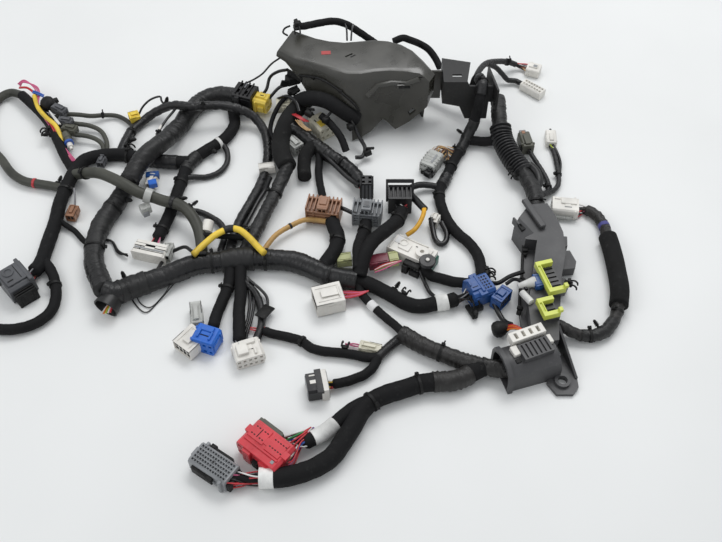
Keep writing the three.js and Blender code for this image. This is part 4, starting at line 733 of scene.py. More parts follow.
# wires that leave the tape and spread over the wire side of a housing
def wireFan(name, route, end, long, radius, face, colours, count):
    line, run = layoutLines[route]
    if end == 0:
        line, run = line[::-1], run[-1] - run[::-1]
    start = run[-1] - long - 7
    share = np.linspace(0, 1, 10)
    path = np.column_stack([np.interp(start + (run[-1] - start) * share, run, line[:, k]) for k in range(3)])
    along = np.gradient(path, axis=0)
    along /= np.linalg.norm(along, axis=1)[:, None]
    side = np.cross(along, (0, 0, 1))
    side /= np.linalg.norm(side, axis=1)[:, None]
    over = np.cross(side, along)
    columns = max(1, round(math.sqrt(count * face[0] / face[1])))
    rows = math.ceil(count / columns)
    opening = np.clip((share - 0.3) / 0.65, 0, 1)
    opening = (opening * opening * (3 - 2 * opening))[:, None]
    random = np.random.default_rng(len(name) + count)
    shape = newShape()
    for n, colour in zip(range(count), colours.split() * count):
        angle, reach = random.uniform(0, 2 * math.pi), radius * 0.8 * math.sqrt(random.uniform(0.1, 1))
        inside = side * reach * math.cos(angle) + over * reach * math.sin(angle)
        across = ((n % columns + 0.5) / columns - 0.5) * face[0]
        up = ((n // columns + 0.5) / rows - 0.5) * face[1]
        stray = np.sin(math.pi * share)[:, None] * random.uniform(-1.8, 1.8, 2)
        spread = path + inside * (1 - opening) + (side * across + over * up) * opening
        spread += side * stray[:, :1] + over * stray[:, 1:]
        spread[-1] += along[-1]
        wire(shape, "wire_" + colour, spread, 1.9 if count > 8 else 2.2, 6, 3.5)
    return finishShape(name, shape, sharp=80)


companions = {}
for name, (route, end, long, radius, face, colours, count, parent) in wireEnds.items():
    companions.setdefault(parent, []).append(wireFan(name, route, end, long, radius, face, colours, count))
for name, (route, place, long, diameter, style, parent) in overlays.items():
    middle = runNear(route, *place)
    part = ((middle - long / 2) / 1000, (middle + long / 2) / 1000)
    piece, line, run = wrappedLoom(name, route, diameter / 1000, style, seeds[route], part=part)
    companions.setdefault(parent, []).append(piece)
for name, (route, diameter, style, node, parent, bare) in sideRuns.items():
    piece, line, run = wrappedLoom(name, route, diameter / 1000, style, seeds[route],
                                   tuple(b / 1000 for b in bare))
    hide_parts(node)
    companions.setdefault(parent, []).append(piece)
for name, (route, diameter, style, node, bare) in cordList.items():
    piece, line, run = wrappedLoom(name, route, diameter / 1000, style, seeds[route],
                                   tuple(b / 1000 for b in bare))
    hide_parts(node)
print("looms made:", len(cordList), "declared,", len(sideRuns), "beside them,", len(overlays), "bands")


# housings and moulded pieces: the part's own shapes with their edges rounded
slotOfNode = {row["node"]: row["material_slot"] for row in frame["record"]["subparts"]}


# a copy of a CAD node with merged corners, flat faces joined and edges rounded
def roundedCopy(node, name, width=0.0004, segments=2):
    mesh = nodes[node].data.copy()
    mesh.name = name
    work = bmesh.new()
    work.from_mesh(mesh)
    bmesh.ops.remove_doubles(work, verts=work.verts, dist=0.00002)
    bmesh.ops.dissolve_limit(work, angle_limit=math.radians(2), verts=work.verts, edges=work.edges)
    sharp = [e for e in work.edges if len(e.link_faces) == 2 and e.calc_face_angle(0) > math.radians(28)]
    bmesh.ops.bevel(work, geom=sharp, offset=width, segments=segments, profile=0.6, affect="EDGES",
                    clamp_overlap=True)
    bmesh.ops.triangulate(work, faces=[f for f in work.faces if len(f.verts) > 4])
    for face in work.faces:
        face.smooth = True
    work.to_mesh(mesh)
    work.free()
    mesh.materials.clear()
    piece = link(name, mesh, materials[slotOfNode[node]])
    body = "black_lever" if node == "lever_black" else main
    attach(piece, body)
    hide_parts(node)
    weighted = piece.modifiers.new("flatFaces", "WEIGHTED_NORMAL")
    weighted.weight = 90
    return piece


def camelName(node):
    first, *rest = node.split("_")
    return first + "".join(word.capitalize() for word in rest)


ownForm = {"conduit_corrugated"}       # made below by nodes
rigidNodes = [row["node"] for row in frame["record"]["subparts"]
              if not row["node"].startswith(("trunk", "loom", "cable", "foam", "tube", "sleeve"))]
for node in rigidNodes:
    if node not in ownForm:
        wide = 0.0009 if node in ("hood_cover", "duct_channel", "bracket_plate") else 0.00045
        roundedCopy(node, camelName(node), wide)
print("moulded pieces rounded:", len(rigidNodes) - len(ownForm))


# node trees
# an empty Geometry Nodes tree with named inputs; returns it, its first node and its last
def nodeTree(name, inputs):
    tree = bpy.data.node_groups.new(name, "GeometryNodeTree")
    tree.interface.new_socket("Geometry", in_out="INPUT", socket_type="NodeSocketGeometry")
    for label, (kind, value) in inputs.items():
        socket = tree.interface.new_socket(label, in_out="INPUT", socket_type="NodeSocket" + kind)
        if kind != "Material":
            socket.default_value = value
    tree.interface.new_socket("Geometry", in_out="OUTPUT", socket_type="NodeSocketGeometry")
    return tree, tree.nodes.new("NodeGroupInput"), tree.nodes.new("NodeGroupOutput")


# runs a tree on the data and keeps the result as a plain mesh
def frozen(name, data, tree, values):
    source = bpy.data.objects.new(name + "Source", data)
    scene.collection.objects.link(source)
    modifier = source.modifiers.new("tree", "NODES")
    modifier.node_group = tree
    for item in tree.interface.items_tree:
        if item.in_out == "INPUT" and item.name in values:
            modifier[item.identifier] = values[item.name]
    evaluated = source.evaluated_get(bpy.context.evaluated_depsgraph_get())
    mesh = bpy.data.meshes.new_from_object(evaluated)
    mesh.name = name
    bpy.data.objects.remove(source)
    return link(name, mesh)


conduit = dict(start=0.24, end=0.64, rings=17, outer=16.3, inner=12.3, sides=40, step=0.6)
gnInputs = {"Pitch": ("Float", 0.004), "Outer": ("Float", 0.016), "Inner": ("Float", 0.0125),
            "Sides": ("Int", 40), "Finish": ("Material", None)}
corrugation, given, made = nodeTree("corrugation", gnInputs)
travel = addNode(corrugation, "GeometryNodeSplineParameter").outputs["Length"]
turns = addNode(corrugation, "ShaderNodeMath", {0: travel, 1: given.outputs["Pitch"]}, operation="DIVIDE")
angleNode = addNode(corrugation, "ShaderNodeMath", {0: turns.outputs[0], 1: 2 * math.pi},
    operation="MULTIPLY")
wave = addNode(corrugation, "ShaderNodeMath", {0: angleNode.outputs[0]}, operation="SINE")
reach = addNode(corrugation, "ShaderNodeMapRange",
    {"Value": wave.outputs[0], "From Min": -0.55, "From Max": 0.55,
                                                    "To Min": given.outputs["Inner"],
                                                    "To Max": given.outputs["Outer"]},
                interpolation_type="SMOOTHSTEP")
ringProfile = addNode(corrugation, "GeometryNodeCurvePrimitiveCircle", {"Resolution": given.outputs["Sides"],
                                                                        "Radius": 1.0})
skin = addNode(corrugation, "GeometryNodeCurveToMesh", {"Curve": given.outputs["Geometry"],
                                                        "Profile Curve": ringProfile.outputs["Curve"],
                                                        "Scale": reach.outputs["Result"],
                                                        "Fill Caps": True})
shaded = addNode(corrugation, "GeometryNodeSetShadeSmooth", {"Geometry": skin.outputs["Mesh"]})
whole = addNode(corrugation, "GeometryNodeRealizeInstances", {"Geometry": shaded.outputs["Geometry"]})
coloured = addNode(corrugation, "GeometryNodeSetMaterial", {"Geometry": whole.outputs["Geometry"],
                                                            "Material": given.outputs["Finish"]})
corrugation.links.new(coloured.outputs["Geometry"], made.inputs["Geometry"])

trunkPath, trunkRun = curveThrough([spot(*q) for q in routes["rightTrunk"]], conduit["step"] / 1000)
share = trunkRun / trunkRun[-1]
trunkPath = trunkPath[(share >= conduit["start"]) & (share <= conduit["end"])]
conduitCurve = bpy.data.curves.new("conduitPath", "CURVE")
conduitCurve.dimensions = "3D"
spline = conduitCurve.splines.new("POLY")
spline.points.add(len(trunkPath) - 1)
spline.points.foreach_set("co", np.column_stack([trunkPath, np.ones(len(trunkPath))]).ravel())
conduitLong = float(trunkRun[-1]) * (conduit["end"] - conduit["start"])
conduitPiece = frozen("conduitCorrugated", conduitCurve, corrugation,
                      {"Pitch": conduitLong / conduit["rings"], "Outer": conduit["outer"] / 1000,
                       "Inner": conduit["inner"] / 1000, "Sides": conduit["sides"],
                       "Finish": materials["conduit"]})
checkOutside(conduitPiece.data)
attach(conduitPiece, main)
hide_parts("conduit_corrugated")

# collars round the pin holes of the grey housing
housings = {
    "connector_red": ((-97, -258, 14.2), 231, (37, 59, 28)),
    "connector_pin_grey": ((-145, -308, 12.2), 146, (53, 28, 24)),
    "connector_blue": ((140, -50, 14.2), 25, (32, 32, 28)),
    "connector_blue_lower": ((-190, -106, 12.2), 250, (27, 32, 24)),
    "connector_white_lower": ((-146, -125, 10.2), 290, (28, 36, 20)),
    "connector_black_tall": ((8, 146, 17.2), 270, (17, 18, 34)),
    "connector_cream": ((-70, 284, 12.2), 306, (34, 27, 24)),
    "relay_box": ((-194, 330, 20.2), 340, (32, 32, 40)),
    "connector_yellow": ((-163.6, 318.9, 20.2), 340, (22, 24, 24)),
    "connector_clear_right": ((112, 209, 10.2), 240, (32, 24, 20)),
    "connector_white_upper": ((270, 413, 7.2), 338, (22, 22, 14)),
    "connector_white_pinned": ((259, 374, 7.2), 318, (38, 17, 14)),
    "connector_lead_olive": ((250, 222, 9.2), 98, (31, 18, 18)),
    "connector_lead_white": ((287, 236, 6.2), 86, (27, 16, 12)),
    "connector_return": ((307, 104, 9.2), 172, (37, 27, 18)),
    "connector_left_grey": ((-441, -17, 14.2), 222, (36, 42, 28)),
    "connector_left_end": ((-488, -88.5, 9.2), 147, (28, 22, 18)),
    "connector_striped": ((-40, -183.5, 11.2), 191, (26, 29, 22)),
    "connector_fan": ((-283, 36, 9.2), 255, (22, 47, 18)),
    "connector_brown": ((-52, 97, 15), -10, (48, 28, 30)),
    "connector_grey_finned": ((9, 93, 14.5), -7, (41, 26, 29)),
    "module_white": ((69, 20, 11.5), -30, (64, 28, 23)),
}
gridInputs = {"Columns": ("Int", 13), "Rows": ("Int", 5), "Size X": ("Float", 0.045),
    "Size Y": ("Float", 0.019),
              "Collar": ("Float", 0.003), "Wall": ("Float", 0.0004), "Finish": ("Material", None)}
collars, given, made = nodeTree("holeCollars", gridInputs)
grid = addNode(collars, "GeometryNodeMeshGrid",
    {"Size X": given.outputs["Size X"], "Size Y": given.outputs["Size Y"],
                                                 "Vertices X": given.outputs["Columns"],
                                                 "Vertices Y": given.outputs["Rows"]})
square = addNode(collars, "GeometryNodeCurvePrimitiveQuadrilateral", {"Width": given.outputs["Collar"],
                                                                      "Height": given.outputs["Collar"]})
wallProfile = addNode(collars, "GeometryNodeCurvePrimitiveQuadrilateral", {"Width": given.outputs["Wall"],
                                                                           "Height": 0.0009})
rim = addNode(collars, "GeometryNodeCurveToMesh", {"Curve": square.outputs["Curve"],
                                                   "Profile Curve": wallProfile.outputs["Curve"]})
spread = addNode(collars, "GeometryNodeInstanceOnPoints", {"Points": grid.outputs["Mesh"],
                                                           "Instance": rim.outputs["Mesh"]})
whole = addNode(collars, "GeometryNodeRealizeInstances", {"Geometry": spread.outputs["Instances"]})
coloured = addNode(collars, "GeometryNodeSetMaterial", {"Geometry": whole.outputs["Geometry"],
                                                        "Material": given.outputs["Finish"]})
collars.links.new(coloured.outputs["Geometry"], made.inputs["Geometry"])


# a field of square collars on the upper face of a housing
def collarGrid(name, node, columns, rows, span, collar, finish, middle=0):
    place, heading, size = housings[node]
    piece = frozen(name, bpy.data.meshes.new(name + "Empty"), collars,
                   {"Columns": columns, "Rows": rows, "Size X": span[0] / 1000, "Size Y": span[1] / 1000,
                    "Collar": collar / 1000, "Wall": 0.0005, "Finish": materials[finish]})
    lift = Matrix.Translation((size[0] / 2000 + middle / 1000, 0, size[2] / 2000 + 0.0002))
    piece.data.transform(Matrix.Translation(spot(*place)) @ Matrix.Rotation(math.radians(heading), 4,
        "Z") @ lift)
    checkOutside(piece.data)
    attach(piece, main)
    return piece


collarGrid("pinHoleCollars", "connector_pin_grey", 13, 5, (45, 19), 3.1, "pin_grey")
collarGrid("pinnedHoleCollars", "connector_white_pinned", 7, 2, (30, 7), 3.6, "white_plastic")
print("conduit and hole collars made by nodes")


# ties: route and place; turn is where the head sits round the loom, in degrees from the top
tie = dict(width=3.4, thick=1.1, head=(5.5, 4.6, 3.6), tail=7)
tiePlaces = [
    ("rightCentre", (177, 286), 8.4, 30), ("rightCentre", (147, 222), 8.2, 70),
        ("rightCentre", (133, 190), 8.2, 60),
    ("rightCentre", (113, 130), 7.6, 50), ("leftInner", (-348, 100), 13.2, 40),
        ("leftInner", (-330, 145), 13.2, 60),
    ("leftInner", (-362, 30), 13.2, 80), ("leftOuter", (-346, 209), 10.4, 0),
        ("leftOuter", (-425, 140), 9.8, 60),
    ("upperLeft", (-348, 262), 6.8, 50), ("upperLeft", (-240, 290), 6.8, 20),
        ("centreDrop", (-122, 125), 9.4, 60),
    ("trunk", (-128, 9), 14.4, 50), ("trunk", (-40, -19), 14.4, 65), ("trunk", (-200, 4), 14.4, -40),
    ("dropLeft", (-177, -36), 7.8, 60), ("loomLower", (70, -185), 11.8, 40),
        ("loomLower", (12, -208), 12, -50),
    ("ductLoom", (150, -159), 10.8, 40), ("ductLoom", (100, -139), 10.8, -30),
        ("returnCable", (330, -75), 7.4, 40),
    ("returnCable", (290, -110), 8, 60), ("fan", (-262, 155), 8.8, 40), ("fan", (-276, 66), 8.8, 60),
    ("leadPair", (289, 176), 3.8, 60), ("leadSingle", (271, 150), 3.8, 70),
        ("rightTrunk", (210, 240), 11.4, 60),
    ("rightTrunk", (246, 106), 11.4, -30), ("greyLoom", (5, 60), 8.8, 30), ("blackLoom", (50, 68), 9.8, 40),
    ("brownLoom", (-33, 42), 10.2, 40), ("hoodLoom", (-28, 191), 10.4, 40),
        ("lowerCentre", (-75, -118), 6.3, 40),
    ("lowerLeft", (-404, -30), 7.3, 50), ("upperRight", (236, 413), 4.8, 30),
        ("leftLoop", (-573, 265), 6.8, 40),
    ("olive", (-398, 162), 8.4, 40), ("tubeUpper", (-400, 298), 3.8, 30),
]


# the place on a route nearest to (x, y), and its directions along, sideways and up, in mm
def frameAt(route, x, y):
    line, run = layoutLines[route]
    n = int(np.clip(np.argmin((line[:, 0] - x) ** 2 + (line[:, 1] - y) ** 2), 2, len(line) - 3))
    along = line[n + 2] - line[n - 2]
    along /= np.linalg.norm(along)
    side = np.cross(along, (0, 0, 1))
    side /= np.linalg.norm(side)
    return line[n], along, side, np.cross(side, along)


# a flat ring round a loom
def ring(shape, finish, route, x, y, radius, width, thick, sides=26):
    place, along, side, over = frameAt(route, x, y)
    reach = np.array([-width / 2 - 0.1, -width / 2, width / 2, width / 2 + 0.1])
    line = place + along * reach[:, None]
    radii = np.array([radius - 0.6, radius + thick, radius + thick, radius - 0.6])
    add(shape, finish, tubePoints(line, radii, sides, 0.2), tubeFaces(4, sides))


ties = newShape()
for route, (x, y), radius, turn in tiePlaces:
    ring(ties, "rubber", route, x, y, radius, tie["width"], tie["thick"])
    place, along, side, over = frameAt(route, x, y)
    out = side * math.sin(math.radians(turn)) + over * math.cos(math.radians(turn))
    yaw = math.degrees(math.atan2(along[1], along[0]))
    put(ties, "rubber", tie["head"][1:] + tie["head"][:1], place + out * (radius + 2.2), yaw, roll=-turn,
        edge=0.6)
    tangent = np.cross(out, along)
    tail = [place + out * (radius + 2.4) + tangent * s + out * s * 0.15 for s in (0, tie["tail"] / 2,
        tie["tail"])]
    wire(ties, "rubber", tail, 2.0, 6, 2)
finishShape("cableTies", ties)


# a push-in clip: saddle, flange and a barbed stem
def treeClip(shape, at, turn=0, tilt=0, finish="rubber"):
    barbs = [(0, 1.5), (1, 4.6), (2, 4.6), (2.4, 1.7), (4.4, 1.7), (4.6, 3.5), (6.4, 1.8), (6.6, 3.3),
        (8.4, 1.7),
             (8.6, 3.1), (10.4, 1.5), (10.6, 2.6), (13, 0.9)]
    lathe(shape, finish, barbs, at, turn, tilt, sides=14)
    put(shape, finish, (3, 9, 7), at, turn, tilt, edge=0.8)


# a clip that hangs open beside a loom: base, two bent arms and a tongue
def hookClip(shape, at, turn=0, finish="rubber"):
    x, y, z = at
    put(shape, finish, (11, 8, 4), at, turn, 8, edge=0.8)
    put(shape, finish, (4, 6, 8), (x + 1, y + 1, z + 3), turn, -14)
    c, s = math.cos(math.radians(turn)), math.sin(math.radians(turn))
    for away in (-4, 4):
        arm = [(x - s * away + c * q, y + c * away + s * q, z + h) for q,
            h in ((2, 2), (7, 4), (11, 1), (12, -3))]
        wire(shape, finish, arm, 2.4, 6, 2)


loomSizes = {row[0]: row[1] for row in (*cordList.values(), *sideRuns.values())}


# the skin of the loom nearest to (x, y), on that side, with the heading and tilt that stand out from it
def onLoom(x, y, rise=0.35):
    reaches = []
    for route, diameter in loomSizes.items():
        line, run = layoutLines[route]
        away = np.hypot(line[:, 0] - x, line[:, 1] - y)
        reaches.append((away.min() - diameter / 2, diameter, line[away.argmin()]))
    gap, diameter, middle = min(reaches, key=lambda row: row[0])
    out = np.array((x - middle[0], y - middle[1], 0)) / max(1, math.hypot(x - middle[0], y - middle[1]))
    out[2] = rise
    out /= np.linalg.norm(out)
    return (middle + out * (diameter / 2 - 0.8), math.degrees(math.atan2(out[1], out[0])),
        -math.degrees(math.asin(out[2])))


clips = newShape()
for x, y in ((-338, 240), (-285, 246), (-215, 212), (-332, 112), (-318, -14), (200, 164), (52, -30),
    (-239, 88),
             (-470, 250), (-300, 308), (-53, -192), (-438, 150), (-250, 120), (150, 250), (300, -96)):
    treeClip(clips, *onLoom(x, y))
for x, y in ((210, 158), (163, -8), (170, -18), (-20, -126), (-476, 258), (104, 190), (196, -104), (-92, 352),
             (60, -42), (152, -74), (-345, 226), (-160, 60)):
    place, heading, tilt = onLoom(x, y, 0.2)
    hookClip(clips, place, heading)
hookClip(clips, (271, -38, 22), -20)
finishShape("pushClips", clips)
print("ties and clips made")


# small housings that the looms' ends and branches carry
# a plug, from its wire side at x = 0: block, open shroud, core with cells, latch and ribs. The cells and the
# wire holes are dark plates and discs: painted shade of the cavities
def plugParts(shape, size, finish, cells=(3, 2), latch=True, inner="rubber", wall=1.2):
    long, wide, high = size
    back = long * 0.45
    put(shape, finish, (back, wide, high), (back / 2, 0, 0), edge=0.8)
    for side in (-1, 1):
        put(shape, finish, (long - back + 1, wall, high),
            ((long + back - 1) / 2, side * (wide - wall) / 2, 0), edge=0.3)
        put(shape, finish, (long - back + 1, wide, wall),
            ((long + back - 1) / 2, 0, side * (high - wall) / 2), edge=0.3)
        put(shape, finish, (long * 0.8, 0.9, 1), (long / 2, side * wide * 0.32, high / 2 + 0.3), edge=0.25)
        put(shape, finish, (long * 0.5, 1, high * 0.5), (long * 0.4, side * (wide / 2 + 0.3), 0), edge=0.3)
    put(shape, finish, (long - back, wide - 2 * wall - 1.6, high - 2 * wall - 1.6),
        ((long + back) / 2 - 1.6, 0, 0), edge=0.3)
    columns, rows = cells
    stepAcross, stepUp = (wide - 2 * wall - 1.6) / columns, (high - 2 * wall - 1.6) / rows
    for i in range(columns):
        for j in range(rows):
            across, up = (i - (columns - 1) / 2) * stepAcross, (j - (rows - 1) / 2) * stepUp
            # dark plates on the core's face and dark discs at the wire side: painted shade of the cavities
            # and wire holes
            put(shape, inner, (0.8, stepAcross * 0.62, stepUp * 0.62), (long - 1.5, across, up), edge=0.1)
            lathe(shape, inner, [(-0.5, 0.9), (0.4, 1.1)], (0, across, up), sides=8)
    if latch:
        put(shape, finish, (long * 0.62, wide * 0.34, 1.2), (long * 0.45, 0, high / 2 + 1.8), tilt=-2,
            edge=0.3)
        put(shape, finish, (2, wide * 0.34, 2.4), (long * 0.72, 0, high / 2 + 0.9), edge=0.3)
        put(shape, finish, (1.8, wide * 0.5, 2.2), (long * 0.15, 0, high / 2 + 2), edge=0.4)


# name: place of the wire side, heading, size, finish, slot, cells, latch
smallPlugs = {
    "whiteComb": ((-126, 184, 12), 190, (24, 13, 12), "white_plastic", "white_plastic", (3, 2), False),
    "whiteCombFrame": ((-116, 176, 10), 15, (13, 12, 10), "white_plastic", "white_plastic", (2, 1), True),
    "naturalPlug": ((-92, 221, 12), 130, (28, 18, 15), "clear_plastic", "clear_plastic", (3, 2), True),
    "whitePlugLeft": ((-203, -108, 11), 232, (34, 30, 18), "white_plastic", "white_plastic", (4, 2), True),
    "clearTallPlug": ((-209, -96, 9), 100, (34, 15, 15), "clear_plastic", "clear_plastic", (2, 2), True),
    "secondBluePlug": ((176, -50, 13), 320, (16, 27, 22), "blue_plastic", "blue_plastic", (4, 3), True),
    "limeBlock": ((-33, 13, 6.8), 8, (20, 15, 13), "lime", "retainer", (2, 1), False),
    "maroonBlock": ((10, 2, 15), 10, (27, 17, 14), "maroon", "red_plastic", (4, 2), False),
    "limeBlockEnd": ((37, 8, 15), 10, (13, 17, 13), "lime", "retainer", (2, 1), False),
    "yellowSmallPlug": ((-341, 293, 13), 205, (16, 17, 13), "yellow_plastic", "yellow_plastic", (2, 1), True),
    "clearCreamPlug": ((-106, 304, 26), 186, (24, 18, 15), "cream_plastic", "cream_plastic", (2, 2), True),
    "smallBrownPlug": ((-405, 107, 9), 262, (21, 14, 12), "brown_plastic", "brown_plastic", (2, 1), True),
    "greyPlugUpper": ((-452, 290, 22), 150, (24, 13, 12), "dark_grey", "dark_grey", (2, 1), True),
    "greyPlugMiddle": ((-438, 270, 20), 170, (22, 13, 12), "dark_grey", "dark_grey", (2, 1), True),
    "blackPlugLower": ((-430, 256, 16), 165, (22, 14, 13), "olive_plastic", "olive_plastic", (2, 1), True),
    "tubeEndPlug": ((-382, 206, 10), 262, (16, 12, 10), "dark_grey", "dark_grey", (2, 1), True),
    "blueWhitePlug": ((-301, 166, 12), 262, (22, 15, 12), "white_plastic", "white_plastic", (2, 2), True),
    "whiteBox": ((-24, -51, 13), 196, (38, 33, 24), "white_plastic", "white_plastic", (5, 2), True),
    "creamFloorPlug": ((-2, -125, 6.5), 345, (28, 13, 11), "cream_plastic", "cream_plastic", (3, 1), True),
    "clearSlabPlug": ((-262, 38, 9), 262, (24, 14, 13), "clear_plastic", "clear_plastic", (2, 1), True),
    "leadLimePlug": ((288, 246, 6), 80, (12, 9, 8), "lime", "retainer", (2, 1), False),
    "smallBlackPlug": ((106, 184, 8), 230, (16, 11, 9), "black_plastic", "black_plastic", (2, 1), True),
    "whitePlugUnderLoop": ((106, 92, 8), 250, (16, 13, 11), "white_plastic", "white_plastic", (2, 1), True),
    "retainerBluePlug": ((222, -49, 39), 10, (10, 21, 9), "blue_plastic", "blue_plastic", (5, 1), False),
}
for name, (place, heading, size, finish, slot, cells, latch) in smallPlugs.items():
    shape = newShape()
    plugParts(shape, size, finish, cells, latch)
    finishShape(name, shape, place, heading)

# loose wires, small tubes and thin cables: finish, gauge in mm, points
looseWires = {
    "topLeftPinkWires": [("wire_pink", 2.2,
        [(-541 + d, 357 - d, 22), (-530, 359 - d, 28), (-514 + d, 347, 26),
                                             (-507 + d, 335, 22), (-501 + d, 304, 18 + d),
                                                 (-475 + d, 268, 20),
                                             (-459, 239 + d, 15), (-423 + d, 191, 17)]) for d in (0, 2.6, 5)],
    "topLeftRedWires": [("wire_red", 2, [(-538, 352 - d, 20), (-522, 346 - d, 24), (-506, 330 - d, 22),
                                         (-497, 300, 20 + d), (-470 + d, 264, 22), (-452 + d, 232, 14),
                                         (-424, 186 + d, 15)]) for d in (0, 2.4)],
    "topLeftYellowTube": [("yellowTube", 7,
        [(-509, 329, 22), (-497, 302, 22), (-480, 279, 24), (-462, 262, 22),
                                             (-453, 246, 16), (-446, 226, 12), (-430, 200, 14)])],
    "topLeftWhiteWires": [("wire_white", 2,
        [(-476, 290, 26), (-466 + d, 274, 27), (-456 + d, 262, 24)]) for d in (0, 2.3)],
    "blueCrimps": [("wire_blue", 3,
        [(-512, 338 - d, 24), (-503, 333 - d, 25), (-494, 330 - d, 22)]) for d in (0, 3.4)],
    "topLeftDarkCable": [("tape", 6,
        [(-536, 338, 14), (-505, 316, 10), (-482, 285, 9), (-462, 256, 9), (-447, 228, 9)])],
    "thirdSmallTube": [("oliveTube", 7, [(-432, 252, 12), (-417, 250, 12), (-402, 246, 10), (-392, 239, 7),
                                         (-387, 228, 6), (-384, 206, 8)])],
    "yellowPlugLead": [("tape", 3.4, [(-343, 292, 14), (-336, 304, 22), (-325, 316, 26), (-312, 324, 25),
                                      (-308, 314, 24), (-299, 302, 26), (-292, 296, 28)])],
    "shortBlackLead": [("tape", 4,
        [(-279, 295, 34), (-285, 285, 30), (-293, 271, 28), (-300, 255, 26), (-306, 240, 24)]),
                       ("white_plastic", 5, [(-300, 257, 26), (-303, 249, 25)])],
    "thinCompanion": [("tape", 7,
        [(-131, 160, 16), (-138, 143, 8), (-147, 123, 6), (-155, 98, 6), (-162, 74, 8),
                                   (-166, 50, 14)])],
    "leftThinCable": [("cloth", 8,
        [(-424, 82, 14), (-412, 76, 6), (-398, 66, 5), (-384, 50, 5), (-376, 44, 8)])],
    "leftThinWires": [("tape", 3, [(-376, 44 + d, 8), (-362, 49 + d, 4), (-345, 50, 3), (-333, 33 - d, 3),
                                   (-318, 22, 5 + d)]) for d in (0, 3.4)],
    "yellowFeedCable": [("tape", 5,
        [(-272, -4, 10), (-268, 12, 7), (-262, 24, 7), (-250, 28, 12), (-236, 22, 24),
                                     (-222, 8, 30), (-205, 6, 31)])],
    "darkBridge": [("cloth", 8,
        [(-222, 46, 20), (-208, 46, 20), (-192, 45, 20), (-172, 44, 19), (-160, 44, 17)])],
    "parallelCable": [("tape", 7,
        [(-62, 215, 12), (-52, 198, 20), (-38, 180, 20), (-23, 160, 20), (-10, 146, 20),
                                   (-2, 138, 22)])],
    "brownSideCable": [("tape", 6, [(-34, 100, 18), (-26, 94, 22), (-16, 88, 22), (-6, 84, 20)])],
    "moduleFeed": [("orange_tube", 6.5,
        [(88, 92, 26), (86, 76, 30), (80, 60, 30), (72, 47, 30), (62, 40, 28)])],
    "moduleFeedCable": [("tape", 10, [(70, 124, 18), (77, 110, 22), (84, 96, 25), (89, 88, 26)])],
    "flagLoop": [("tape", 8, [(98, 84, 12), (100, 66, 8), (103, 50, 6), (110, 42, 6), (117, 48, 6),
        (119, 62, 6),
                              (113, 80, 8)])],
    "moduleWires": [("wire_" + c, 2, [(18, -10 - 2 * n, 16 + n), (30, -6 - 2 * n, 22), (42, -4 - n, 24),
                                      (54, 0, 22)]) for n, c in enumerate(("red", "white", "red", "green",
                                          "pink"))],
    "whiteBoxWires": [("wire_" + c, 2.2,
        [(-25, -44 - 2.6 * n, 12 + 2 * (n % 3)), (-14, -44 - 2 * n, 13), (-2, -46 - n, 14),
                                          (10, -44, 14)]) for n, c in enumerate(("red", "pink", "red",
                                              "red", "pink", "red"))],
    "blueSideCables": [("tape", 6,
        [(150, -26, 12), (165, -24, 8), (180, -30, 12), (196, -26, 22), (214, -24, 30)]),
                       ("tape", 5, [(190, -36, 18), (200, -34, 26), (208, -45, 34), (212, -58, 35)]),
                       ("tape", 7, [(173, -62, 12), (178, -76, 9), (184, -90, 10), (191, -99, 16)])],
    "frameWires": [("wire_" + c, 2.4, [(184, -108 + 2 * n, 17), (190, -112 + 2 * n, 26), (197, -118 + n, 33),
                                       (203, -124, 36)]) for n, c in enumerate(("orange", "red", "orange",
                                           "red"))],
    "creamFloorWires": [("wire_pink", 2,
        [(-2, -123 - d, 6), (-10, -120 - d, 4), (-20, -121, 3 + d)]) for d in (0, 3)],
    "dropExtraWires": [("tape", 4,
        [(-152, -20, 12), (-146 + d, -48, 6), (-146 + d, -80, 5), (-150 + d, -104, 6),
                                    (-150 + d, -124, 10)]) for d in (0, 5, 22)]
                      + [("wire_red", 2, [(-142, -96 - d, 5), (-130, -98 - d, 5),
                          (-117, -104, 5 + d)]) for d in (0, 3)],
    "moduleSideCable": [("tape", 5.5, [(78, -6, 12), (84, -22, 6), (90, -38, 5), (97, -50, 8)])],
    "hoodBackCable": [("cloth", 11,
        [(50, 383, 84), (64, 389, 86), (75, 395, 78), (92, 406, 62), (106, 400, 56),
                                    (117, 388, 48), (124, 372, 42)])],
    "hoodDownWires": [("tape", 3, [(-25, 409, 97), (-22, 388, 103), (-21, 364, 101)]),
                      ("tape", 3, [(-12, 409, 96), (-14, 388, 102), (-15, 364, 101)])],
    "hoodLeftWires": [("tape", 3,
        [(-122, 350, 80), (-138, 354, 64), (-153, 353, 46), (-168, 348, 38), (-180, 342, 36)]),
                      ("tape", 5, [(-112, 338, 66), (-128, 348, 54), (-142, 354, 38), (-148, 342, 24),
                          (-158, 332, 16)])],
    "hoodHookLoop": [("rubber", 3, [(-109, 399, 101), (-117, 394, 100), (-119, 385, 99), (-112, 378, 99)])],
    "brownPlugWire": [("wire_grey", 3, [(-406, 108, 8), (-407, 122, 14), (-410, 136, 18)])],
    "ductEdgeCord": [("rubber", 4.2,
        [(219, 76, 15), (222, 60, 15), (221, 34, 15), (217, 8, 15), (213, -20, 15),
                                      (208, -46, 15), (204, -74, 15)])],
    "leadsJoint": [("tape", 9, [(262, 132, 10), (252, 124, 15), (248, 116, 18)])],
    "fourthLead": [("tape", 4, [(288, 240, 7), (294, 222, 5), (296, 200, 5), (293, 182, 5)])],
    "conduitSideBulge": [("dullTape", 13,
        [(244, 178, 22), (252, 170, 20), (256, 160, 18), (256, 148, 17), (250, 138, 18)])],
}
materials["orange_tube"] = wrapMaterial("orangeTube", (0.68, 0.36, 0.03), 0.4, 0.00012, grey=0.1)
for name, runs in looseWires.items():
    shape = newShape()
    for finish, gauge, points in runs:
        wire(shape, finish, points, gauge, 10 if gauge > 4 else 7, 2.6)
    finishShape(name, shape, sharp=80)
print("small housings and loose wires made")


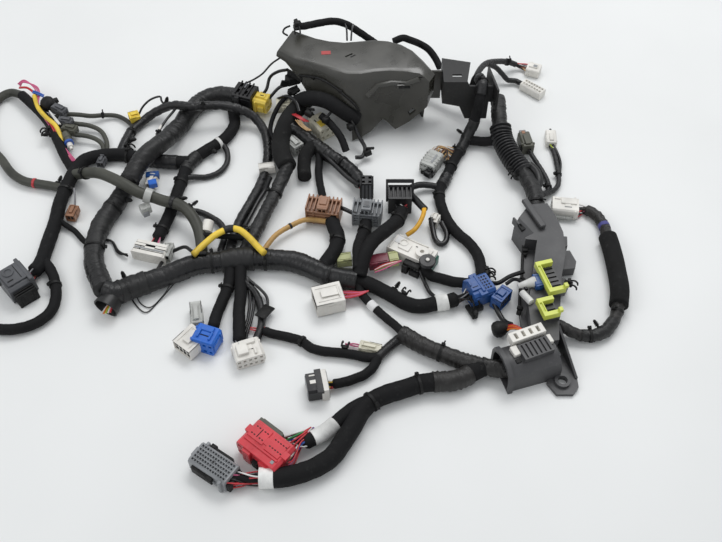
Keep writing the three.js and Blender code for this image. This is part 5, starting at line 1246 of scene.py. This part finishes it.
# single fittings
fittings = {
    "grommetBall": ("rubber", "black_plastic", (-484, 312, 20), 40, 0,
                    [(-11, 3), (-10.6, 6), (-8, 9.4), (-4, 11.8), (0, 12.6), (4, 12), (8, 9.6), (9, 8.4),
                        (9, 5), (16, 4.2)]),
    "oliveTip": ("olive_plastic", "olive_plastic", (-447, 252, 15), -62, 4,
                 [(0, 4), (1, 6.4), (12, 6.6), (13, 5.6), (18, 5.6), (19, 4)]),
    "violetTipRing": ("wire_blue", "blue_plastic", (-438.6, 234.5, 14), -62, 0,
        [(0, 4), (0.4, 6.8), (4.4, 6.8), (5, 5)]),
    "whiteTip": ("white_plastic", "white_plastic", (-436.4, 230, 14), -62, 0,
                 [(0, 4.4), (7, 4.2), (8, 2.4), (12, 2.2), (12.6, 1)]),
    "rubberCap": ("rubber", "black_plastic", (166, -106, 12), 10, -12,
                  [(0, 3), (1, 7), (4, 10), (9, 11), (14, 9.6), (18, 7), (22, 5)]),
    "retainerSleeveUpper": ("band", "white_plastic", (202, -52, 35), 14, -6,
        [(0, 2.6), (1, 3.4), (14, 5.6), (23, 7.6), (24, 5)]),
    "retainerSleeveLower": ("band", "white_plastic", (205, -62, 36), -58, -2,
        [(0, 3.2), (1, 4.4), (20, 4.6), (21, 3)]),
    "moduleWheel": ("black_plastic", "black_plastic", (88, -6, 25), 0, -90,
                    [(0, 4), (0.4, 10.4), (1.2, 11.2), (5, 11.2), (6, 10.2), (6.2, 4), (7.2, 3.4)]),
    "moduleWheelPin": ("white_plastic", "white_plastic", (88, -6, 31.6), 0, -90,
        [(0, 1), (0.2, 2.6), (1.6, 2.4), (2, 1)]),
}
for name, (finish, slot, place, turn, tilt, profile) in fittings.items():
    shape = newShape()
    lathe(shape, finish, profile, place, turn, tilt, sides=26)
    finishShape(name, shape, sharp=35)
print("fittings made")

# dressings: what stands on a housing, in its own frame (x from the wire side, y across, z up from the middle)
# each row: finish, size, place of the middle. Rows of rubber only 0.4 to 0.6 mm thick are dark plates laid
# where holes, slits and grooves are: painted shade
dressings = {
    "connector_red": [
        ("red_plastic", (20, 23, 1.6), (13, -14, 14.4)), ("red_plastic", (22, 21, 1.6), (14, 13, 14.4)),
        ("red_plastic", (3, 50, 2.4), (27, 0, 14.4)), ("red_plastic", (5, 12, 24), (38.5, -12, 0)),
        ("red_plastic", (4, 16, 20), (38, 14, -1)), ("pin_grey", (4, 4, 0.8), (31, 21, 14.2)),
        ("olive_plastic", (6, 36, 15), (-2, -11, 4)), ("olive_plastic", (3, 30, 3), (-5, -11, 8)),
        ("rubber", (5, 9, 12), (39, 1, -4)), ("rubber", (4, 4, 10), (34, -30, -2)),
            # dark line and grid of dark plates on the top: painted shade of a slit and of the pin holes
            ("rubber", (12, 1, 0.4), (13, -14, 15.3)),
    ] + [("rubber", (1.4, 2.2, 0.5), (x, y, 15.2)) for x in (8, 18) for y in (-22, -18, -10, -6, 6, 10,
        14, 18, 22)],
    "connector_pin_grey": [
        ("rubber", (26, 4, 12), (24, -15.5, 3)), ("rubber", (30, 4, 13), (32, 15.5, 0)),
            ("rubber", (9, 5, 6), (20, 17, 5)),
        ("rubber", (8, 5, 6), (40, -17, 6)), ("pin_grey", (3, 12, 20), (54, 0, 0)),
            # dark square plate on the top: painted shade of a hole
            ("rubber", (4, 4, 0.6), (26.5, 0, 12.3)),
        ("pin_grey", (4, 5, 22), (6, 15, 0)), ("pin_grey", (4, 5, 22), (47, -15, 0)),
            ("rubber", (6, 24, 14), (-2, 0, -2)),
    ],
    "connector_blue": [
        ("blue_plastic", (13, 20, 3), (7, 2, 15)), ("blue_plastic", (4, 28, 4), (15, 0, 15)),
            ("blue_plastic", (26, 1.4, 18), (15, 16.8, 0)),
        ("blue_plastic", (26, 1.4, 18), (15, -16.8, 0)), ("blue_plastic", (2, 9, 4), (2, 4, 17)),
            # dark line on the top: painted shade of a slit
            ("rubber", (8, 1, 0.5), (7, -3, 16.6)),
        ("rubber", (18, 7, 7), (2, -20, -8)), ("rubber", (6, 22, 5), (-6, -20, -10)),
            ("rubber", (5, 6, 12), (-4, -28, -7)),
    # grids of dark plates on the top and the end face: painted shade of the pin holes
    ] + [("rubber", (2.2, 2.4, 0.5), (19 + 4 * i, 4.6 * j - 9.2, 14.2)) for i in range(3) for j in range(5)]
      + [("rubber", (0.5, 2.6, 3), (32.2, 4.6 * j - 9.2, z)) for j in range(5) for z in (-6, 0, 6)],
    "connector_blue_lower": [
        ("bright_blue", (8, 17, 3.4), (6, 0, 13)), ("bright_blue", (12, 3, 3), (15, 8, 13)),
            ("bright_blue", (12, 3, 3), (15, -8, 13)),
        # dark plate on the top: painted shade of a recess
        ("rubber", (5, 11, 0.6), (14, 0, 12.2)), ("bright_blue", (3.5, 35, 20), (5, 0, 0)),
            ("bright_blue", (18, 1.4, 14), (16, 16.6, 0)),
        ("bright_blue", (18, 1.4, 14), (16, -16.6, 0)), ("bright_blue", (3, 30, 3), (25, 0, 12)),
    ],
    "connector_white_lower": [
        ("white_plastic", (16, 14, 6), (14, -6, 11)), ("white_plastic", (7, 20, 4), (5, 2, 11.4)),
            ("white_plastic", (3, 38, 17), (5, 0, 0)),
        ("white_plastic", (18, 1.4, 12), (17, 18.6, 0)), ("white_plastic", (10, 3, 3), (20, 9, 11)),
            # dark plate on the top: painted shade of a slit
            ("rubber", (5, 2, 0.5), (14, 6, 10.3)),
    ],
    "connector_black_tall": [("black_plastic", (19, 1.2, 2.4), (8.5, y, z)) for y in (-9.2,
        9.2) for z in (-10, -4, 2, 8, 14)]
                            + [("dark_grey", (1.2, 3, 28), (17.4, y, 0)) for y in (-5, 0, 5)],
    "connector_brown": [
        ("brown_plastic", (16, 22, 5), (0, -1, 16)), ("brown_plastic", (10, 12, 2), (0, -1, 19.2)),
            ("brown_plastic", (15, 3, 3), (0, -13, 17)),
    ] + [("brown_plastic", (46, 2, 2), (0, -14.8, z)) for z in (10, 4.5, -1, -6.5)]
      + [("brown_plastic", (2, 2.4, 26), (x, -15, -1)) for x in (-22, -12, 12, 22)],
    "connector_grey_finned": [
        ("fin_grey", (14, 20, 5), (-1, -1, 15.6)), ("fin_grey", (9, 11, 2), (-1, -1, 18.8)),
            ("dark_grey", (7, 8, 0.6), (-1, -1, 20)),
    ] + [("fin_grey", (38, 2, 2), (-0.5, -13.8, z)) for z in (9, 4, -1, -6)]
      + [("fin_grey", (2, 2.4, 25), (x, -14, -1)) for x in (-18.5, -10, 9, 17.5)],
    "connector_left_grey": [
        ("dark_grey", (28, 32, 3), (19, -1, 15)), ("dark_grey", (5, 44, 6), (4, 0, 14)),
            ("dark_grey", (6, 12, 10), (38, -12, 6)),
        # the two thin dark plates here: painted shade of slits
        ("rubber", (1, 26, 0.5), (12, -1, 16.6)), ("rubber", (8, 2, 0.5), (26, 8, 16.6)),
            ("rubber", (20, 2, 14), (14, -22, 0)),
    ] + [("rubber", (28, 2.4, 22), (19, 23 + 4 * i, -3)) for i in range(3)] + [("rubber", (3, 12, 18),
        (10 + 16 * i, 27, -4)) for i in range(2)],
    "connector_left_end": [("dark_grey", (18, 14, 2), (14, 0, 9.6)),
        # the thin dark plate here: painted shade of a slit
        ("dark_grey", (3, 24, 16), (4, 0, 0)), ("rubber", (10, 1, 0.5), (14, 3, 10.7))],
    "connector_striped": [
        ("white_plastic", (9, 31, 23.6), (5, 0, 0)), ("pin_grey", (3, 25, 18), (25.4, 0, 0)),
            ("white_plastic", (12, 5, 1.4), (16, 0, 11.2)),
        # the thin dark plate here: painted shade of a groove
        ("white_plastic", (12, 2, 1.2), (16, -9, 11.2)), ("rubber", (1, 22, 0.5), (12, 0, 11.4)),
            ("white_plastic", (0.8, 8, 8), (27, 2, -1)),
    ],
    # thin dark lines across the top: painted shade of grooves and a slit
    "connector_fan": [("rubber", (0.8, 44, 0.5), (x, 0, 9.2)) for x in (5.5, 10.5, 16)]
                     + [("white_plastic", (4, 46, 1.2), (8, 0, 9.4)),
                         ("rubber", (7, 1.4, 0.5), (13, -13, 9.2)),
                        ("white_plastic", (3, 49, 15), (20, 0, 0)),
                            ("pin_grey", (2.4, 42, 0.8), (13.2, 0, 9.2))],
    "connector_clear_right": [("clear_plastic", (2, 25, 21), (8 + 6 * i, 0, 0)) for i in range(4)]
                             + [("rubber", (10, 12, 8), (26, 6, -8)), ("rubber", (4, 20, 5), (33, 2, -8)),
                                 ("pin_grey", (18, 3, 1), (16, 4, 10.4))],
    "connector_cream": [("cream_plastic", (18, 10, 2.6), (14, 4, 13)),
        ("cream_plastic", (3, 29, 22), (6, 0, 0)), ("yellow_plastic", (13, 9, 1), (22, -4, 12.6)),
                        # dark plate on the top: painted shade of a slit
                        ("rubber", (6, 1.6, 0.5), (12, -8, 12.2)),
                            ("cream_plastic", (26, 1.4, 14), (17, 14, 0))],
    "relay_box": [("black_plastic", (2, 30, 3), (6 + 6.5 * i, 0, 20.6)) for i in range(4)]
                 + [("black_plastic", (30, 2, 30), (16, -16.6, -2)),
                     ("dark_grey", (3, 10, 0.6), (16, 5, 22.3)), ("black_plastic", (8, 6, 34), (10, -18, 0))],
    "connector_yellow": [("yellow_plastic", (16, 8, 4), (10, 0, 13)),
        ("yellow_plastic", (3, 28, 20), (5, 0, 0)), ("yellow_plastic", (6, 14, 8), (20, 2, 10)),
                         # dark plate on the top: painted shade of a slit
                         ("rubber", (6, 1.4, 0.5), (12, 0, 15.2)),
                             ("yellow_plastic", (10, 4, 10), (14, -13, -2))],
    "connector_white_upper": [("white_plastic", (14, 8, 2), (10, 0, 8)),
        ("pin_grey", (6, 5, 0.8), (13, 0, 9.2)), ("white_plastic", (2.4, 24, 13), (5, 0, 0))],
    "connector_lead_olive": [("olive_plastic", (20, 8, 3), (13, 0, 10)),
        ("pin_grey", (9, 10, 6), (32, 1, 5)), ("olive_plastic", (3, 21, 18), (6, 0, 0)),
                             ("rubber", (10, 4, 10), (6, 10, -2)), ("brown_plastic", (6, 5, 1), (30, 1, 9))],
    "connector_lead_white": [("white_plastic", (15, 6, 2.4), (11, 0, 6.8)),
        ("pin_grey", (4, 5, 5), (29, 0, 1)), ("white_plastic", (2.4, 17, 11), (4, 0, 0)),
                             ("rubber", (4, 3, 5), (31, 0, 1))],
    "connector_return": [("white_plastic", (22, 10, 2), (14, -4, 9.8)),
        ("white_plastic", (3, 29, 17), (5, 0, 0)), ("pin_grey", (10, 1.6, 0.6), (15, 6, 9.2)),
                         ("clear_plastic", (30, 9, 4), (22, 14, -3)),
                             ("white_plastic", (8, 3, 2), (30, -8, 9.6))],
    "module_white": [
        ("module_green", (7, 27, 15), (31, 0, -3.6)), ("white_plastic", (44, 2, 2), (-4, 12.6, 12)),
            ("white_plastic", (2, 24, 2), (-28, 0, 12)),
        # the two thin dark plates here: painted shade of slits
        ("white_plastic", (16, 12, 2.4), (-10, -2, 12)), ("rubber", (1, 8, 0.5), (-20, 2, 11.8)),
            ("rubber", (7, 1.2, 0.5), (6, 6, 11.8)),
        ("label", (17, 13, 0.5), (-22, 6, 11.9)), ("rubber", (24, 9, 5), (10, -19, 4)),
            ("rubber", (8, 14, 15), (2, -20, -4)),
        ("rubber", (14, 5, 10), (16, -24, -6)), ("white_plastic", (10, 8, 3), (22, 6, 12)),
    ],
}
for node, rows in dressings.items():
    place, heading, size = housings[node]
    shape = newShape()
    for finish, box, at in rows:
        put(shape, finish, box, at, edge=min(0.7, min(box) * 0.3))
    if node == "module_white":
        wheelSeat = [(0, 3), (0.2, 6.4), (2.6, 6), (2.8, 4.6), (1, 4.2), (0.8, 1)]
        lathe(shape, "white_plastic", wheelSeat, (-14, 3, 11.4), tilt=-90)
    if node == "connector_left_grey":
        roundBoss = [(0, 4), (0.2, 7.6), (2, 7.2), (2.2, 5), (1, 4.6), (0.8, 1)]
        lathe(shape, "dark_grey", roundBoss, (22, -6, 16), tilt=-90)
    finishShape(camelName(node) + "Details", shape, place, heading)

# hood, duct and table-side details, in the layout's frame
shape = newShape()
put(shape, "sticker", (14, 8, 0.5), (-52.3, 335.5, 100.2), 4, edge=0.1)
finishShape("bareSticker", shape)
shape = newShape()
# thin dark plate on the hood top: painted shade of a slot
put(shape, "rubber", (9, 2, 0.5), (-12, 328, 100.1), 38, edge=0.1)
put(shape, "rubber", (17, 2, 5.5), (64, 283, 79), 3, roll=12, edge=0.4)
put(shape, "hood", (22, 2.4, 8), (64, 284, 79), 3, roll=12, edge=0.6)
put(shape, "rubber", (11, 9, 9), (-98, 408, 97), 24, edge=1)
put(shape, "rubber", (6, 13, 4), (-99, 406, 103), 24, -10, edge=0.8)
put(shape, "rubber", (22, 14, 15), (-104, 328, 56), 32, 8, edge=1.4)
put(shape, "rubber", (10, 18, 12), (-92, 336, 60), 32, 8, edge=1.4)
put(shape, "rubber", (3, 30, 9), (-100, 322, 68), 50, 14, edge=0.8)
put(shape, "rubber", (12, 3, 10), (-116, 316, 58), 20, 20, edge=0.8)
put(shape, "rubber", (14, 9, 5), (-100, 310, 48), 32, -16, edge=0.8)
wire(shape, "rubber", [(-96, 320, 71), (-88.6, 312, 76), (-72, 305, 79.5), (-58, 297.4, 81),
    (-40, 286, 77), (-23.7, 274, 70),
                       (-10, 267, 60), (-2, 262, 50)], 3.6, 8, 3)
for x in (-72, -30):
    put(shape, "rubber", (6, 4, 5), (x, 304 - (x + 72) * 0.58, 79 - (x + 72) * 0.14), -35, edge=0.6)
finishShape("hoodFittings", shape)
shape = newShape()
wire(shape, "cloth", [(-96, 294, 40), (-84, 290, 50), (-68, 283, 57), (-50, 275, 58), (-34, 268, 52),
    (-20, 263, 44),
                     (-6, 264, 34)], 23, 20, 2)
wire(shape, "cloth", [(-112, 306, 42), (-124, 296, 34), (-134, 280, 22), (-138, 262, 12),
    (-132, 244, 10)], 7, 10, 2)
wire(shape, "tape", [(-128, 312, 30), (-112, 300, 46), (-98, 286, 48), (-92, 268, 44)], 6, 10, 2)
wire(shape, "tape", [(-142, 316, 28), (-126, 322, 44), (-112, 322, 50)], 5, 8, 2)
wire(shape, "cloth", [(-60, 262, 42), (-44, 248, 36), (-30, 232, 26), (-22, 214, 16)], 11, 14, 2)
wire(shape, "tape", [(-10, 252, 30), (-2, 238, 20), (6, 224, 12), (2, 208, 10), (-8, 204, 12)], 6, 10, 2)
for d in (0, 3, 6):
    wire(shape, "wire_red", [(-106 + d, 272, 37), (-97 + d, 262, 40), (-84 + d, 254, 37)], 2, 6, 2)
    wire(shape, "wire_tan", [(-98 + d, 258, 37), (-90 + d, 246, 36), (-80 + d, 240, 32)], 1.8, 6, 2)
for place, turn in (((-106, 310, 46), 20), ((-78, 262, 46), -30), ((-52, 250, 44), 50),
        ((-16, 246, 34), 120), ((10, 214, 12), 200)):
    put(shape, "rubber", (11, 8, 9), place, turn, 12, edge=1)
    put(shape, "rubber", (14, 3, 4), (place[0] + 3, place[1] + 4, place[2] + 5), turn, -16, edge=0.6)
finishShape("underHoodBundle", shape, sharp=50)
shape = newShape()
put(shape, "duct", (54, 9, 6), (236, 70, 38.2), -68, edge=2)
put(shape, "rubber", (12, 7, 4), (219, 52, 30), -68, edge=0.4)
put(shape, "duct", (20, 3, 12), (214, 60, 26), -60, edge=1)
for i in range(7):
    put(shape, "rubber", (23, 1.9, 3.4), (212 + (i - 3) * 4.8, -150 + (i - 3) * 1.95, 37), -68, edge=0.3)
for x, y, turn in ((219, 50, -75), (221, 20, 90), (212, -30, 80), (204, -76, 70)):
    put(shape, "rubber", (13, 6, 7), (x, y, 15), turn, edge=1)
    put(shape, "rubber", (5, 8, 4), (x, y, 20), turn, edge=0.8)
finishShape("ductFittings", shape)
shape = newShape()
put(shape, "white_plastic", (9, 14, 7), (187, -154, 38), 22, edge=0.8)
put(shape, "white_plastic", (6, 12, 6), (231, -136, 38.5), 22, edge=0.8)
put(shape, "rubber", (7, 6, 8), (190, -166, 33), 22, edge=0.8)
put(shape, "rubber", (8, 9, 9), (176, -168, 24), 22, edge=0.8)
finishShape("fuseCarrierArms", shape)
shape = newShape()
put(shape, "rubber", (26, 15, 2.4), (-124, -76, 12), 62, 16, edge=0.6)
lathe(shape, "dullTape", [(-18, 10), (-6, 14.4), (4, 16.4), (9, 17), (9.6, 16.2), (9, 15), (0, 13.4),
    (-14, 8)], (-326, -64, 15), 246, 4, sides=26)
for n, colour in enumerate(("white", "orange", "lime", "white", "red")):
    wire(shape, "wire_" + colour,
        [(-322 + 2 * n, -56, 13 + n), (-329 + 2.4 * n, -70, 14 + n), (-334 + 3 * n, -80, 12 + n)], 2.6, 6, 2)
wire(shape, "tape", [(-306, -36, 12), (-301, -50, 2), (-281, -70, 2), (-266, -52, 2), (-248, -30, 10)],
    1.8, 6, 3)
wire(shape, "tape", [(-298, -34, 12), (-292, -52, 2), (-276, -62, 2), (-262, -46, 4), (-250, -28, 12)],
    1.6, 6, 3)
finishShape("openSleeve", shape, sharp=50)
shape = newShape()
ring(shape, "clear_plastic", "olive", -299, 103, 9, 10, 1.8)
put(shape, "clear_plastic", (15, 12, 13), (-302, 96, 19), 30, edge=1)
put(shape, "pin_grey", (9, 5, 9), (-301, 91, 14), 30, edge=0.8)
lathe(shape, "white_plastic", [(0, 5), (0.2, 7.4), (17, 7.8), (17.4, 5)], (-210, 70, 22), 262, 14, sides=22)
put(shape, "bright_blue", (12, 11, 9), (-299, 145, 18), 20, edge=0.8)
put(shape, "blue_plastic", (19, 10, 9), (-302, 163, 16), 8, edge=0.8)
finishShape("clearFittings", shape)
shape = newShape()
for n in range(14):
    colour = ("blue", "red", "white", "violet", "red", "green", "pink")[n % 7]
    wire(shape, "wire_" + colour,
        [(-58 + n % 4, -243 - n % 5, 10 + n % 5 * 2.6), (-74 + n * 0.6, -252 - n * 0.7, 15 + n % 3 * 3),
                                   (-98 + n * 1.65, -257 - n * 1.35, 8 + n % 3 * 4.6)], 2.3, 7, 2.5)
finishShape("redHousingFan", shape, sharp=80)
shape = newShape()
for n in range(11):
    across = 2.1 * n - 10.5
    x, y, z = frameAt("rightCentre", 146 - 1.2 * n, 224 - 3 * n)[0]
    wire(shape, "wire_" + ("tan", "white", "brown", "tan", "black")[n % 5],
         [(112 + 0.87 * across, 209 - 0.5 * across, 6 + 4 * (n % 3)),
             (121 + 0.8 * across, 219 - 0.55 * across, 15 + 3 * (n % 2)),
          (x - 8, y + 2, z + 3), (x, y, z)], 2, 7, 2.5)
finishShape("clearHousingFan", shape, sharp=80)
print("dressings made")


# floor and light
floorMesh = bpy.data.meshes.new("floor")
floorMesh.from_pydata([(-6, -6, 0), (6, -6, 0), (6, 9, 0), (-6, 9, 0)], [], [(0, 1, 2, 3)])
floorMaterial, floorTree, floorShader = newMaterial("tableTop")
floorCoords = addNode(floorTree, "ShaderNodeTexCoord").outputs["Object"]
floorColour, floorCloud = varied(floorTree, floorCoords, 3, (0.79, 0.8, 0.79, 1), (0.83, 0.84, 0.83, 1))
floorTree.links.new(floorColour, floorShader.inputs["Base Color"])
floorShader.inputs["Roughness"].default_value = 0.45
floor = link("floor", floorMesh, floorMaterial)

world = bpy.data.worlds.new("room")
world.use_nodes = True
world.node_tree.nodes["Background"].inputs["Color"].default_value = (0.95, 0.97, 1, 1)
world.node_tree.nodes["Background"].inputs["Strength"].default_value = 0.62
scene.world = world


def areaLight(name, location, target, size, power):
    data = bpy.data.lights.new(name, "AREA")
    data.shape = "RECTANGLE"
    data.size, data.size_y = size
    data.energy = power
    lamp = bpy.data.objects.new(name, data)
    lamp.location = location
    lamp.rotation_euler = (Vector(target) - Vector(location)).to_track_quat("-Z", "Y").to_euler()
    scene.collection.objects.link(lamp)


areaLight("ceilingPanel", (0.5, 1.1, 1.9), (0, 0, 0), (1.6, 0.9), 22)
areaLight("sidePanel", (-1.4, -0.4, 1.5), (0, 0, 0), (1.0, 1.0), 7)
print("stage and lights set")
